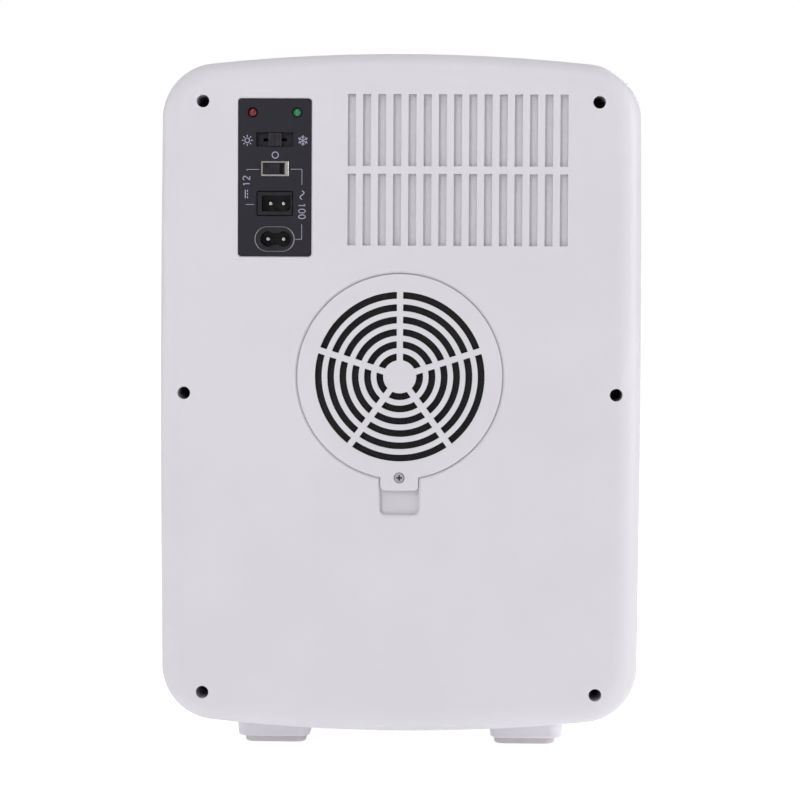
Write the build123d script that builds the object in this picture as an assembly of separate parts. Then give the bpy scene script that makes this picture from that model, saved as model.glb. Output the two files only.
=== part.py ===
from build123d import *
import math
import os

# Thermoelectric mini fridge, in millimetres. +X is to the right seen from the door side, +Y runs from
# the door to the back, +Z is up. The origin is on the floor, under the middle of the whole fridge.
# Sketches are drawn in (x, z) and extruded along Y, so the body outline serves every casing.

# ---------------------------------------------------------------- driving dimensions
WIDTH = 266.0
DEPTH = 310.0
BODY_HEIGHT = 375.3
FOOT_HEIGHT = 12.5
TOP_CROWN = 8.8  # how far the top and bottom edges fall from their middle to the corners
SIDE_CROWN = 1.2
CORNER_R = 31.0
RIM_R = 14.0  # rounding of the door's front rim and the rear cover's back rim
WALL = 2.5
LINER_WALL = 1.5
FIT = 0.2  # gap between parts that slip into each other
SEAM = 0.3  # visible gap round a cover that comes off
PARTING = 0.6  # chamfer of the casings' edges where two of them meet

MID_Z = FOOT_HEIGHT + BODY_HEIGHT / 2

# ---------------------------------------------------------------- stations along the depth
REAR_FACE = DEPTH / 2
REAR_SPLIT = REAR_FACE - 42  # rear cover meets the cabinet
BULKHEAD_BACK = 91.5
BULKHEAD_FRONT = BULKHEAD_BACK - WALL
CABINET_FRONT = -103.0
DOOR_BACK = CABINET_FRONT - 3
DOOR_FRONT = -DEPTH / 2
LINER_BACK = 57.0  # outside of the liner's back wall
CAVITY_BACK = LINER_BACK - LINER_WALL

# ---------------------------------------------------------------- cold compartment
CAVITY_HALF_W = 103.0
CAVITY_BOTTOM = FOOT_HEIGHT + 34
CAVITY_TOP = FOOT_HEIGHT + 341
CAVITY_R = 17.0
CAVITY_Z = (CAVITY_BOTTOM + CAVITY_TOP) / 2
CAVITY_H = CAVITY_TOP - CAVITY_BOTTOM
LEDGE_TOPS = (FOOT_HEIGHT + 138, FOOT_HEIGHT + 254)
LEDGE_T = 3.0
LEDGE_REACH = 6.0
SHELF_Z = LEDGE_TOPS[1]

# ---------------------------------------------------------------- fan, cooler and their stack
FAN_Z = FOOT_HEIGHT + 197.5
FAN_SIZE = 92.0
FAN_BORE_R = 44.5
FAN_BACK = 146.0
FAN_THICK = 25.0
FAN_HOLE = 41.25
PELTIER = 40.0
PELTIER_T = 3.8
SINK_FACE = BULKHEAD_BACK + 0.4  # hot side of the module
SINK_BASE_T = 5.0
FIN_TIP = FAN_BACK - FAN_THICK - 1
BLOCK_W = 40.0
BLOCK_H = 64.0
WINDOW_W = BLOCK_W + 2.5
WINDOW_H = BLOCK_H + 2.5
CLAMP_Z = 26.0  # clamp screws above and below the module
COLD_FACE = CAVITY_BACK - 0.2
COLD_BASE_T = 5.0
COLD_FIN_TIP = COLD_FACE - COLD_BASE_T - 10
INNER_FAN = 60.0
INNER_FAN_T = 10.0
INNER_FAN_BACK = COLD_FIN_TIP - 0.5
INNER_COVER = 112.0
INNER_COVER_FRONT = 26.0

# ---------------------------------------------------------------- round fan cover on the back
COVER_R = 56.5
COVER_T = 2.5
HUB_R = 9.1
RING_PITCH = 6.76
RING_SLOT = 3.75
RINGS = 6
SPOKES = 5
SPOKE_W = 3.4
TAB_W = 21.0
TAB_DROP = 62.7  # from the fan's centre to the tab's lower edge
TAB_SCREW_DROP = 55.7
NOTCH_DROP = 76.0  # to the lower edge of the finger notch
NOTCH_DEPTH = 4.5
SEAT_CHAMFER = 1.2
SEAT_HOLE_R = 51.5

# ---------------------------------------------------------------- vent
VENT_X = -31.3
VENT_Z = FOOT_HEIGHT + 310.9
VENT_PITCH = 8.31
VENT_COUNT = 15
VENT_SLOT_W = 4.35
VENT_SLOT_H = 39.3
VENT_BAR = 4.2  # between the upper and lower row

# ---------------------------------------------------------------- control panel
PANEL_X = 69.1
PANEL_Z = FOOT_HEIGHT + 306.5
PANEL_W = 40.2
PANEL_H = 86.4
PANEL_T = 1.2
PANEL_FACE = REAR_FACE - 0.8
PANEL_R = 1.8
PANEL_LIP = 0.7  # width of the slope round the panel
LED_Z = FOOT_HEIGHT + 342.1
LED_X = 12.2
LED_R = 2.6
MODE_Z = FOOT_HEIGHT + 327.3
MODE_W = 20.5
MODE_H = 7.9
VOLT_Z = FOOT_HEIGHT + 311.4
VOLT_W = 15.1
VOLT_H = 8.1
VOLT_WINDOW_W = 12.15
VOLT_WINDOW_H = 6.5
VOLT_WINDOW_X = PANEL_X + 0.62  # the frame's -X bar is the wider one
VOLT_KNOB_W = 9.2
VOLT_KNOB_X = VOLT_WINDOW_X + (VOLT_WINDOW_W - VOLT_KNOB_W) / 2 - 0.05
VOLT_TRAVEL = 2.8
DC_Z = FOOT_HEIGHT + 292.3
DC_W = 19.8
DC_H = 13.5
AC_Z = FOOT_HEIGHT + 272.8
AC_W = 22.0
AC_H = 13.9
AC_PIN_X = 4.3
AC_MOUTH_X = PANEL_X - 0.6
DC_PIN_X = 3.55
DC_MOUTH_W = 16.0
DC_MOUTH_H = 8.7
DC_MOUTH_X = PANEL_X - 0.8
DC_PINS_X = PANEL_X - 1.2
PIN_R = 1.2
SOCKET_FLOOR = 144.5
BOARD_FACE = 135.6  # back of the control board, which the switches and sockets stand on

# ---------------------------------------------------------------- screws, feet, hinges
COVER_SCREWS = ((108.6, FOOT_HEIGHT + 348.2), (118.9, FOOT_HEIGHT + 188), (108.5, FOOT_HEIGHT + 22.4))
CBORE_R = 3.5
CBORE_FLOOR = 121.0
TUBE_R = 5.6
FOOT_X = 71.8
FOOT_Y = (-78.0, 97.0)
PAD_HEIGHT = 3.5
HINGE_X = 121.0
HINGE_Y = -133.0
HINGE_Z = (FOOT_HEIGHT + 60, FOOT_HEIGHT + 315)
HINGE_PIN_R = 2.0
HINGE_BUSH_R = 3.2
LUG_R = 5.0
LUG_HALF = 4.0

# ---------------------------------------------------------------- power board
POWER_Z = FOOT_HEIGHT + 75
POWER_W = 160.0
POWER_H = 80.0
POWER_FACE = 103.1


# ================================================================ helpers
def prism(sketch, y0, y1):
    """A sketch drawn in (x, z), made solid from y0 to y1."""
    plane = Plane(origin=(0, y0, 0), x_dir=(1, 0, 0), z_dir=(0, -1, 0))
    return extrude(plane * sketch, amount=y0 - y1)


def block(x0, x1, y0, y1, z0, z1):
    centre = Pos((x0 + x1) / 2, (y0 + y1) / 2, (z0 + z1) / 2)
    return centre * Box(x1 - x0, y1 - y0, z1 - z0)


def rod(x, z, radius, y0, y1):
    """A cylinder along Y."""
    return Pos(x, (y0 + y1) / 2, z) * Rot(90, 0, 0) * Cylinder(radius, y1 - y0)


def post(x, y, radius, z0, z1):
    """A cylinder along Z."""
    return Pos(x, y, (z0 + z1) / 2) * Cylinder(radius, z1 - z0)


def at(x, z, sketch):
    return Pos(x, z) * sketch


def bulge_radius(rise, half_chord):
    """Radius of the arc that rises this much over a chord."""
    return (half_chord**2 + rise**2) / (2 * rise)


def outline(inset=0.0):
    """The body's outline: the overlap of four large discs, with rounded corners. An inset shrinks every
    arc about its own centre, so walls keep one thickness all round."""
    half_w = WIDTH / 2
    half_h = BODY_HEIGHT / 2
    side_r = bulge_radius(SIDE_CROWN, half_h - TOP_CROWN)
    top_r = bulge_radius(TOP_CROWN, half_w - SIDE_CROWN)
    discs = [Pos(s * (half_w - side_r), 0) * Circle(side_r - inset) for s in (-1, 1)]
    discs += [Pos(0, s * (half_h - top_r)) * Circle(top_r - inset) for s in (-1, 1)]
    face = discs[0] & discs[1] & discs[2] & discs[3]
    return Pos(0, MID_Z) * fillet(face.vertices(), CORNER_R - inset)


def cavity_outline(grow=0.0):
    w = 2 * (CAVITY_HALF_W + grow)
    return at(0, CAVITY_Z, RectangleRounded(w, CAVITY_H + 2 * grow, CAVITY_R + grow))


def cross_slots(x, z, y0, y1, length=3.2, width=0.9):
    """The recess of a cross-head screw."""
    bar = prism(at(x, z, Rectangle(length, width)), y0, y1)
    return bar + prism(at(x, z, Rectangle(width, length)), y0, y1)


def screw_y(x, z, head_y, tip_y, head_r=2.8, shank_r=1.5, head_t=2.0):
    """A pan-head screw driven along -Y: the head's underside is at head_y, the tip at tip_y."""
    head = rod(x, z, head_r, head_y, head_y + head_t)
    rim = head.edges().group_by(Axis.Y)[-1]
    head = fillet(rim, 0.5)
    shank = rod(x, z, shank_r, tip_y, head_y)
    shank = chamfer(shank.edges().group_by(Axis.Y)[0], shank_r * 0.45)
    return head + shank - cross_slots(x, z, head_y + head_t - 1.1, head_y + head_t + 1)


def flip_y(part, y):
    """Turns a part end for end along Y, about the plane at y."""
    return mirror(part, Plane(origin=(0, y, 0), x_dir=(1, 0, 0), z_dir=(0, 1, 0)))


def fused(parts):
    whole = parts[0]
    for part in parts[1:]:
        whole = whole + part
    return whole


def both_sides(points):
    """Each (x, z) on the right, and its mirror image on the left."""
    return [(side * x, z) for x, z in points for side in (1, -1)]


# ================================================================ casings
def cabinet_shell():
    """Outer casing of the cabinet: a tube with a threaded boss inside for each foot."""
    shell = prism(outline(), CABINET_FRONT, REAR_SPLIT)
    ends = shell.edges().group_by(Axis.Y)
    shell = chamfer(ends[0] + ends[-1], PARTING)
    shell -= prism(outline(WALL), CABINET_FRONT - 1, REAR_SPLIT + 1)
    for x in (-FOOT_X, FOOT_X):
        for y in FOOT_Y:
            boss = post(x, y, 5, FOOT_HEIGHT + 1, FOOT_HEIGHT + 16)
            shell += boss & prism(outline(WALL / 2), CABINET_FRONT, REAR_SPLIT)
            shell -= post(x, y, 2.1, FOOT_HEIGHT - 2, FOOT_HEIGHT + 13)
    return shell


def board_screw_places():
    across, up = POWER_W / 2 - 6, POWER_H / 2 - 6
    return [(x * across, POWER_Z + z * up) for x in (-1, 1) for z in (-1, 1)]


def sink_screw_places():
    return [(x * 52, FAN_Z + z * 44) for x in (-1, 1) for z in (-1, 1)]


def bulkhead():
    """Plate that closes the foam's back. The rear cover, the power board and the hot sink bolt to it."""
    plate = prism(outline(WALL), BULKHEAD_FRONT, BULKHEAD_BACK)
    for x, z in both_sides(COVER_SCREWS):
        plate += rod(x, z, 4.5, BULKHEAD_BACK - 1, CBORE_FLOOR - WALL - FIT)
        plate -= rod(x, z, 1.5, BULKHEAD_BACK + 6, CBORE_FLOOR)
    for x, z in board_screw_places():
        plate += rod(x, z, 3.5, BULKHEAD_BACK - 1, POWER_FACE - 1.6)
        plate -= rod(x, z, 1.3, BULKHEAD_BACK + 1, POWER_FACE)
    for x, z in sink_screw_places():
        plate -= rod(x, z, 1.5, BULKHEAD_FRONT - 1, BULKHEAD_BACK + 1)
    window = at(0, FAN_Z, Rectangle(WINDOW_W, WINDOW_H))
    plate -= prism(window, BULKHEAD_FRONT - 1, BULKHEAD_BACK + 1)
    slot_bottom = FAN_Z - 60
    slot_top = FAN_Z - WINDOW_H / 2 + 1
    return plate - block(12, 20, BULKHEAD_FRONT - 1, BULKHEAD_BACK + 1, slot_bottom, slot_top)


def inner_liner():
    """The tub of the cold compartment, with the ledges that carry the shelf."""
    liner = prism(cavity_outline(LINER_WALL), CABINET_FRONT + 0.4, LINER_BACK)
    for x in (-48, 48):
        for z in (-48, 48):
            liner += rod(x, FAN_Z + z, 4, LINER_BACK - 1, LINER_BACK + 9)
    liner -= prism(cavity_outline(), CABINET_FRONT - 1, CAVITY_BACK)
    for side in (-1, 1):
        for top in LEDGE_TOPS:
            wall_x = side * CAVITY_HALF_W
            x0, x1 = sorted((wall_x + side * 0.5, wall_x - side * LEDGE_REACH))
            liner += block(x0, x1, -58, CAVITY_BACK + 0.5, top - LEDGE_T, top)
    liner -= prism(at(0, FAN_Z, Rectangle(WINDOW_W, WINDOW_H)), CAVITY_BACK - 1, LINER_BACK + 1)
    for x in (-48, 48):
        for z in (-48, 48):
            liner -= rod(x, FAN_Z + z, 1.42, CAVITY_BACK - 1, LINER_BACK + 7)
    return liner


def front_frame():
    """Flat moulding round the compartment's mouth, which joins the casing to the liner."""
    ring = outline(WALL + FIT) - cavity_outline(LINER_WALL + FIT / 2)
    frame = prism(ring, CABINET_FRONT, CABINET_FRONT + 2)
    for hinge_z in HINGE_Z:
        frame -= block(
            HINGE_X - LUG_R - FIT, HINGE_X + LUG_R + FIT, CABINET_FRONT - 1, CABINET_FRONT + 3,
            hinge_z - LUG_HALF - FIT, hinge_z + LUG_HALF + FIT,
        )
        for dz in (-10, 10):
            frame -= Pos(HINGE_X, CABINET_FRONT + 1, hinge_z + dz) * Rot(90, 0, 0) * Cone(1.6, 3.6, 2)
    return frame


def cabinet_foam():
    """Expanded foam between the casing and the liner, with the cooler's window through its back."""
    foam = prism(outline(WALL + FIT), CABINET_FRONT + 2 + FIT, BULKHEAD_FRONT - FIT)
    foam -= prism(cavity_outline(LINER_WALL + FIT), CABINET_FRONT, LINER_BACK + FIT)
    foam -= prism(at(0, FAN_Z, Rectangle(WINDOW_W, WINDOW_H)), LINER_BACK - 1, BULKHEAD_FRONT)
    for x in (-1, 1):
        for z in (-1, 1):
            foam -= rod(x * 48, FAN_Z + z * 48, 4 + FIT, LINER_BACK - 1, LINER_BACK + 9 + FIT)
    for x, z in sink_screw_places():
        foam -= rod(x, z, 1.7, BULKHEAD_FRONT - 8, BULKHEAD_FRONT + 1)
    for x in (-FOOT_X, FOOT_X):
        for y in FOOT_Y:
            foam -= post(x, y, 5 + FIT, FOOT_HEIGHT, FOOT_HEIGHT + 16 + FIT)
    front = CABINET_FRONT + 2
    foam -= prism(keeper_ring(FIT), front - 1, front + 0.6 + FIT)
    for hinge_z in HINGE_Z:
        foam -= block(HINGE_X - 9, HINGE_X + 12, front - 1, front + 2 + FIT, hinge_z - 17, hinge_z + 17)
        for dz in (-10, 10):
            foam -= rod(HINGE_X, hinge_z + dz, 1.8, front, front + 10)
    return foam


def keeper_ring(grow=0.0):
    """The steel band behind the flange that the door seal's magnet pulls on."""
    outer = at(0, CAVITY_Z, RectangleRounded(226 + 2 * grow, CAVITY_H + 20 + 2 * grow, 23))
    inner = at(0, CAVITY_Z, RectangleRounded(212 - 2 * grow, CAVITY_H + 6 - 2 * grow, 17))
    return outer - inner


def keeper_frame():
    return prism(keeper_ring(), CABINET_FRONT + 2, CABINET_FRONT + 2.6)


def rounded_casing(inset, y_open, y_face, radius, parting=0.0):
    """The body outline from y_open to y_face, with the rim at y_face rounded."""
    low, high = sorted((y_open, y_face))
    solid = prism(outline(inset), low, high)
    far = -1 if y_face > y_open else 0
    solid = fillet(solid.edges().group_by(Axis.Y)[far], radius)
    if parting:
        solid = chamfer(solid.edges().group_by(Axis.Y)[-1 - far], parting)
    return solid


def fan_cover_outline(grow=0.0, drop=TAB_DROP, corner=2.6):
    """A disc with a tab below it, drawn about the fan's centre."""
    tab = Pos(0, -drop / 2) * Rectangle(TAB_W + 2 * grow, drop + 2 * grow)
    tab = fillet(tab.vertices().group_by(Axis.Y)[0], corner)
    return Circle(COVER_R + grow) + tab


def vent_slots(width, height, count, pitch):
    """Upright slots in two rows, centred on the vent."""
    rows = []
    for row in (-1, 1):
        z = row * (VENT_SLOT_H + VENT_BAR) / 2
        for i in range(count):
            rows.append(Pos((i - (count - 1) / 2) * pitch, z) * Rectangle(width, height))
    return at(VENT_X, VENT_Z, Sketch() + rows)


def rear_cover():
    """The moulded back: vent, fan seat with its finger notch, panel recess and six screw tubes."""
    cover = rounded_casing(0, REAR_SPLIT, REAR_FACE, RIM_R, PARTING)
    cover -= rounded_casing(WALL, REAR_SPLIT, REAR_FACE - WALL, RIM_R - WALL)
    inside = REAR_FACE - WALL
    for x, z in both_sides(COVER_SCREWS):
        cover += rod(x, z, TUBE_R, CBORE_FLOOR - WALL, inside + 0.6)
    cover += rod(0, FAN_Z, COVER_R + 3.2, inside - 3, inside + 0.5)
    notch_back = at(0, FAN_Z - (NOTCH_DROP + 45) / 2, Rectangle(TAB_W + 5, NOTCH_DROP - 45 + 5))
    cover += prism(notch_back, REAR_FACE - NOTCH_DEPTH - 2.2, inside + 0.5)
    cover += rod(0, FAN_Z - TAB_SCREW_DROP, 4.2, inside - 12, inside)
    ledge = at(PANEL_X, PANEL_Z, RectangleRounded(PANEL_W + 4.2, PANEL_H + 4.2, PANEL_R + 2))
    cover += prism(ledge, inside - 2.5, inside + 0.5)
    # The seat for the disc and its tab, then the through hole and the deeper finger notch.
    seat = at(0, FAN_Z, fan_cover_outline(SEAM, NOTCH_DROP, 3.4))
    cover -= prism(seat, inside, REAR_FACE + 1)
    cover = chamfer(seat_edges(cover), SEAT_CHAMFER)
    cover -= rod(0, FAN_Z, SEAT_HOLE_R, inside - 20, inside + 1)
    notch_h = NOTCH_DROP - TAB_DROP + 3 + SEAM
    notch_z = FAN_Z - NOTCH_DROP - SEAM + notch_h / 2
    notch = at(0, notch_z, RectangleRounded(TAB_W + 2 * SEAM, notch_h, 3.4))
    cover -= prism(notch, REAR_FACE - NOTCH_DEPTH, REAR_FACE)
    cover -= rod(0, FAN_Z - TAB_SCREW_DROP, 1.5, inside - 10, inside + 1)
    # The panel recess and its window.
    recess = at(PANEL_X, PANEL_Z, RectangleRounded(PANEL_W + 0.4, PANEL_H + 0.4, PANEL_R + 0.2))
    cover -= prism(recess, PANEL_FACE - PANEL_T, REAR_FACE + 1)
    cover = chamfer(panel_edges(cover), PANEL_LIP)
    window = at(PANEL_X, PANEL_Z, RectangleRounded(PANEL_W - 3.8, PANEL_H - 4.2, 1))
    cover -= prism(window, inside - 5, REAR_FACE)
    cover -= prism(vent_slots(VENT_SLOT_W, VENT_SLOT_H, VENT_COUNT, VENT_PITCH), inside - 1, REAR_FACE + 1)
    for x, z in baffle_pins():
        cover += rod(x, z, 1.6, inside - 4, inside + 0.5)
    for x, z in both_sides(COVER_SCREWS):
        cover -= rod(x, z, CBORE_R, CBORE_FLOOR, REAR_FACE + 1)
        cover -= rod(x, z, 1.8, CBORE_FLOOR - WALL - 1, CBORE_FLOOR + 1)
    return cover


def seat_edges(cover):
    """The upper edges of the fan seat, on the cover's back face."""
    on_face = cover.edges().filter_by_position(Axis.Y, REAR_FACE - 0.01, REAR_FACE + 0.01)
    near = []
    for edge in on_face:
        box = edge.bounding_box()
        across = max(abs(box.min.X), abs(box.max.X))
        low = FAN_Z - NOTCH_DROP - 1
        if across < COVER_R + 1 and box.min.Z > low and box.max.Z < FAN_Z + COVER_R + 1:
            near.append(edge)
    return near


def panel_edges(cover):
    """The upper edges of the panel's recess, on the cover's back face."""
    on_face = cover.edges().filter_by_position(Axis.Y, REAR_FACE - 0.01, REAR_FACE + 0.01)
    near = []
    for edge in on_face:
        box = edge.bounding_box()
        beside = abs(box.center().X - PANEL_X) < PANEL_W / 2 + 1
        if beside and abs(box.center().Z - PANEL_Z) < PANEL_H / 2 + 1:
            near.append(edge)
    return near


def baffle_pins():
    half_w = (VENT_COUNT - 1) / 2 * VENT_PITCH + 5.6
    half_h = VENT_SLOT_H + VENT_BAR / 2 + 3.2
    return [(VENT_X + x * half_w, VENT_Z + z * half_h) for x in (-1, 1) for z in (-1, 1)]


def vent_baffle():
    """A white plate close behind the vent. Its slots lie behind the vent's bars, so air finds a way out
    and nothing dropped against the vent can reach the fan."""
    half_w = (VENT_COUNT - 1) / 2 * VENT_PITCH + 9
    half_h = VENT_SLOT_H + VENT_BAR / 2 + 6.4
    plate = at(VENT_X, VENT_Z, RectangleRounded(2 * half_w, 2 * half_h, 3))
    slots = vent_slots(2.4, VENT_SLOT_H - 3, VENT_COUNT - 1, VENT_PITCH)
    back = REAR_FACE - WALL - 0.3
    baffle = prism(plate - slots, back - 1.2, back)
    for x, z in baffle_pins():
        baffle -= rod(x, z, 1.7, back - 2, back + 1)
    return baffle


def fan_grille_slots(rings, first_r, pitch, slot, spokes, spoke_w):
    """Concentric slots cut into arcs by spokes."""
    cut = Sketch()
    for k in range(rings):
        inner = first_r + k * pitch
        cut += Circle(inner + slot) - Circle(inner)
    reach = first_r + rings * pitch
    arms = [
        Rot(0, 0, 90 + i * 360 / spokes) * Pos(reach / 2, 0) * Rectangle(reach, spoke_w)
        for i in range(spokes)
    ]
    return cut - (Sketch() + arms)


def fan_cover():
    """The round grille that comes off to clean the filter, with its screw tab."""
    inside = REAR_FACE - COVER_T
    cover = prism(at(0, FAN_Z, fan_cover_outline()), inside, REAR_FACE)
    cover = chamfer(cover.edges().group_by(Axis.Y)[-1], 0.35)
    slots = fan_grille_slots(RINGS, HUB_R, RING_PITCH, RING_SLOT, SPOKES, SPOKE_W)
    cover -= prism(at(0, FAN_Z, slots), inside - 1, REAR_FACE + 1)
    skirt = at(0, FAN_Z, Circle(SEAT_HOLE_R - 0.3) - Circle(SEAT_HOLE_R - 1.8))
    cover += prism(skirt, inside - 4.5, inside)
    screw_z = FAN_Z - TAB_SCREW_DROP
    cover -= rod(0, screw_z, 3.0, REAR_FACE - 1.3, REAR_FACE + 1)
    cover -= rod(0, screw_z, 1.7, inside - 1, REAR_FACE)
    return cover


def filter_pad():
    """Open-cell foam disc that keeps dust out of the fan."""
    front = REAR_FACE - COVER_T - 0.2
    return rod(0, FAN_Z, SEAT_HOLE_R - 2.0, front - 4, front)


def fan_cover_screw():
    head = REAR_FACE - 1.3
    return screw_y(0, FAN_Z - TAB_SCREW_DROP, head, head - 9, head_r=2.75, shank_r=1.45, head_t=1.2)


def rear_cover_screws():
    return [
        screw_y(x, z, CBORE_FLOOR, CBORE_FLOOR - 14, head_r=3.1, shank_r=1.48, head_t=2.3)
        for x, z in both_sides(COVER_SCREWS)
    ]


# ================================================================ control panel
def panel_cut():
    """Every opening in the control panel."""
    cut = at(PANEL_X, MODE_Z, RectangleRounded(MODE_W, MODE_H, 0.4))
    cut += at(PANEL_X, VOLT_Z, Rectangle(VOLT_W + 0.1, VOLT_H + 0.1))
    cut += at(PANEL_X, DC_Z, RectangleRounded(DC_W + 0.3, DC_H + 0.3, 0.8))
    cut += at(PANEL_X, AC_Z, SlotOverall(AC_W + 0.2, AC_H + 0.2))
    for side in (-1, 1):
        cut += at(PANEL_X + side * LED_X, LED_Z, Circle(LED_R + 0.2))
    return cut


def control_panel():
    plate = at(PANEL_X, PANEL_Z, RectangleRounded(PANEL_W, PANEL_H, PANEL_R)) - panel_cut()
    return prism(plate, PANEL_FACE - PANEL_T, PANEL_FACE)


def led(x):
    """A 5 mm indicator lamp on its two legs, domed end to the back."""
    body = rod(x, LED_Z, LED_R, 147, REAR_FACE - LED_R)
    dome = Pos(x, REAR_FACE - LED_R, LED_Z) * Sphere(LED_R)
    lamp = body + dome + rod(x, LED_Z, 2.9, 146, 147)
    return [lamp] + [rod(x + dx, LED_Z, 0.25, BOARD_FACE, 146) for dx in (-1.27, 1.27)]


def mode_switch_body():
    """Three-position slide switch: its top is the dark floor of the slot."""
    body = prism(at(PANEL_X, MODE_Z, Rectangle(MODE_W + 2, MODE_H + 2)), BOARD_FACE, 149)
    body += prism(at(PANEL_X, MODE_Z, Rectangle(MODE_W - 0.2, MODE_H - 0.2)), 149, 151)
    return body - prism(at(PANEL_X, MODE_Z, Rectangle(12.8, 1.8)), 141, 152)


def mode_switch_knob():
    cap = prism(at(PANEL_X, MODE_Z, RectangleRounded(7.0, 7.1, 0.6)), 151.15, 154.7)
    for dx in (-2.1, 0, 2.1):
        cap -= prism(at(PANEL_X + dx, MODE_Z, Rectangle(0.7, 8)), 154.2, 155)
    return cap + prism(at(PANEL_X, MODE_Z, Rectangle(2.5, 1.5)), 143, 152)


def volt_switch_frame():
    """Plated steel frame of the selector, standing a little proud of the panel."""
    frame = prism(at(PANEL_X, VOLT_Z, Rectangle(VOLT_W, VOLT_H)), 145, PANEL_FACE + 0.4)
    frame = chamfer(frame.edges().group_by(Axis.Y)[-1], 0.25)
    window = at(VOLT_WINDOW_X, VOLT_Z, Rectangle(VOLT_WINDOW_W, VOLT_WINDOW_H))
    return frame - prism(window, 144, REAR_FACE + 1)


def volt_switch_body():
    body = prism(at(PANEL_X, VOLT_Z, Rectangle(VOLT_W, VOLT_H)), BOARD_FACE, 145)
    top = Rectangle(VOLT_WINDOW_W - 0.1, VOLT_WINDOW_H - 0.1)
    body += prism(at(VOLT_WINDOW_X, VOLT_Z, top), 145, 150)
    return body - prism(at(VOLT_WINDOW_X, VOLT_Z, Rectangle(6.4, 2.4)), 140, 151)


def volt_switch_knob():
    x = VOLT_KNOB_X
    cap = prism(at(x, VOLT_Z, Rectangle(VOLT_KNOB_W, VOLT_WINDOW_H - 0.3)), 150.15, 153.6)
    for dx in (-2.4, -0.8, 0.8, 2.4):
        cap -= prism(at(x + dx, VOLT_Z, Rectangle(0.6, 8)), 153.1, 154)
    return cap + prism(at(x, VOLT_Z, Rectangle(2.6, 2.1)), 142, 151)


def dc_inlet():
    """Two-pin low-voltage socket with one corner cut off, so the plug goes in one way."""
    mouth = Rectangle(DC_MOUTH_W, DC_MOUTH_H)
    mouth = chamfer(mouth.vertices().sort_by(Axis.X)[0], 1.6)
    body = prism(at(PANEL_X, DC_Z, RectangleRounded(DC_W, DC_H, 0.6)), BOARD_FACE, PANEL_FACE - 0.3)
    rim = body.edges().group_by(Axis.Y)[-1]
    body = chamfer(rim, 0.5)
    return body - prism(at(DC_MOUTH_X, DC_Z, mouth), SOCKET_FLOOR, REAR_FACE)


def ac_mouth():
    """Figure-of-eight mouth of the mains socket: two round lobes and a flat-sided waist."""
    lobes = Sketch() + [Pos(side * AC_PIN_X, 0) * Circle(4.3) for side in (-1, 1)]
    return lobes + Rectangle(2 * AC_PIN_X, 6.6)


def ac_inlet():
    body = prism(at(PANEL_X, AC_Z, SlotOverall(AC_W, AC_H)), BOARD_FACE, PANEL_FACE + 0.3)
    body = chamfer(body.edges().group_by(Axis.Y)[-1], 0.4)
    return body - prism(at(AC_MOUTH_X, AC_Z, ac_mouth()), SOCKET_FLOOR, REAR_FACE)


def socket_pins(x, z, spread, tip):
    pins = []
    for side in (-1, 1):
        pin = rod(x + side * spread, z, PIN_R, SOCKET_FLOOR, tip)
        pins.append(fillet(pin.edges().group_by(Axis.Y)[-1], 0.9))
    return pins


def control_board():
    board = at(PANEL_X, PANEL_Z, Rectangle(38, 86))
    return prism(board, BOARD_FACE - 1.6, BOARD_FACE)


# ================================================================ cooling unit
def hot_sink():
    """Finned aluminium sink on the hot side, its fins upright so the fan's air leaves at the top."""
    base = block(-56, 56, SINK_FACE, SINK_FACE + SINK_BASE_T, FAN_Z - 50, FAN_Z + 50)
    fins = [
        block(x - 1, x + 1, SINK_FACE + SINK_BASE_T - 0.5, FIN_TIP, FAN_Z - 50, FAN_Z + 50)
        for x in [(i - 9.5) * 5 for i in range(20)]
    ]
    sink = fused([base] + fins)
    back = SINK_FACE + SINK_BASE_T
    for z in (-CLAMP_Z, CLAMP_Z):
        sink -= rod(0, FAN_Z + z, 4.2, back, FIN_TIP + 1)
        sink -= rod(0, FAN_Z + z, 1.7, SINK_FACE - 1, back + 1)
    for x, z in sink_screw_places():
        sink -= rod(x, z, 1.7, SINK_FACE - 1, back + 1)
    for x in (-FAN_HOLE, FAN_HOLE):
        for z in (-FAN_HOLE, FAN_HOLE):
            sink -= rod(x, FAN_Z + z, 1.75, FIN_TIP - 13, FIN_TIP + 1)
    return sink


def sink_screws():
    back = SINK_FACE + SINK_BASE_T
    return [
        screw_y(x, z, back, back - 14, head_r=2.7, shank_r=1.48) for x, z in sink_screw_places()
    ]


def clamp_washers():
    """Insulating washers, so the clamp screws don't carry heat back to the cold block."""
    back = SINK_FACE + SINK_BASE_T
    ring = Circle(3.4) - Circle(1.6)
    return [prism(at(0, FAN_Z + z, ring), back, back + 1) for z in (-CLAMP_Z, CLAMP_Z)]


def clamp_screws():
    head = SINK_FACE + SINK_BASE_T + 1
    return [screw_y(0, FAN_Z + z, head, head - 30, shank_r=1.48) for z in (-CLAMP_Z, CLAMP_Z)]


def peltier_module():
    """Thermoelectric module: two ceramic plates with the pellets between them."""
    cold = SINK_FACE - PELTIER_T
    plate = at(0, FAN_Z, Rectangle(PELTIER, PELTIER))
    pellets = at(0, FAN_Z, Rectangle(PELTIER - 2, PELTIER - 2))
    return prism(plate, cold, cold + 0.9) + prism(plate, SINK_FACE - 0.9, SINK_FACE) + prism(
        pellets, cold + 0.5, SINK_FACE - 0.5
    )


def module_seal():
    """Soft frame that fills the window round the module and keeps damp air out."""
    frame = Rectangle(WINDOW_W - 0.3, WINDOW_H - 0.3) - Rectangle(PELTIER + 0.4, PELTIER + 0.4)
    frame -= Pos(16, -WINDOW_H / 2) * Rectangle(7.4, WINDOW_H - PELTIER)
    seal = prism(at(0, FAN_Z, frame), SINK_FACE - PELTIER_T + 0.2, SINK_FACE - 0.1)
    for z in (-CLAMP_Z, CLAMP_Z):
        seal -= rod(0, FAN_Z + z, 1.7, SINK_FACE - PELTIER_T, SINK_FACE)
    return seal


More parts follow.
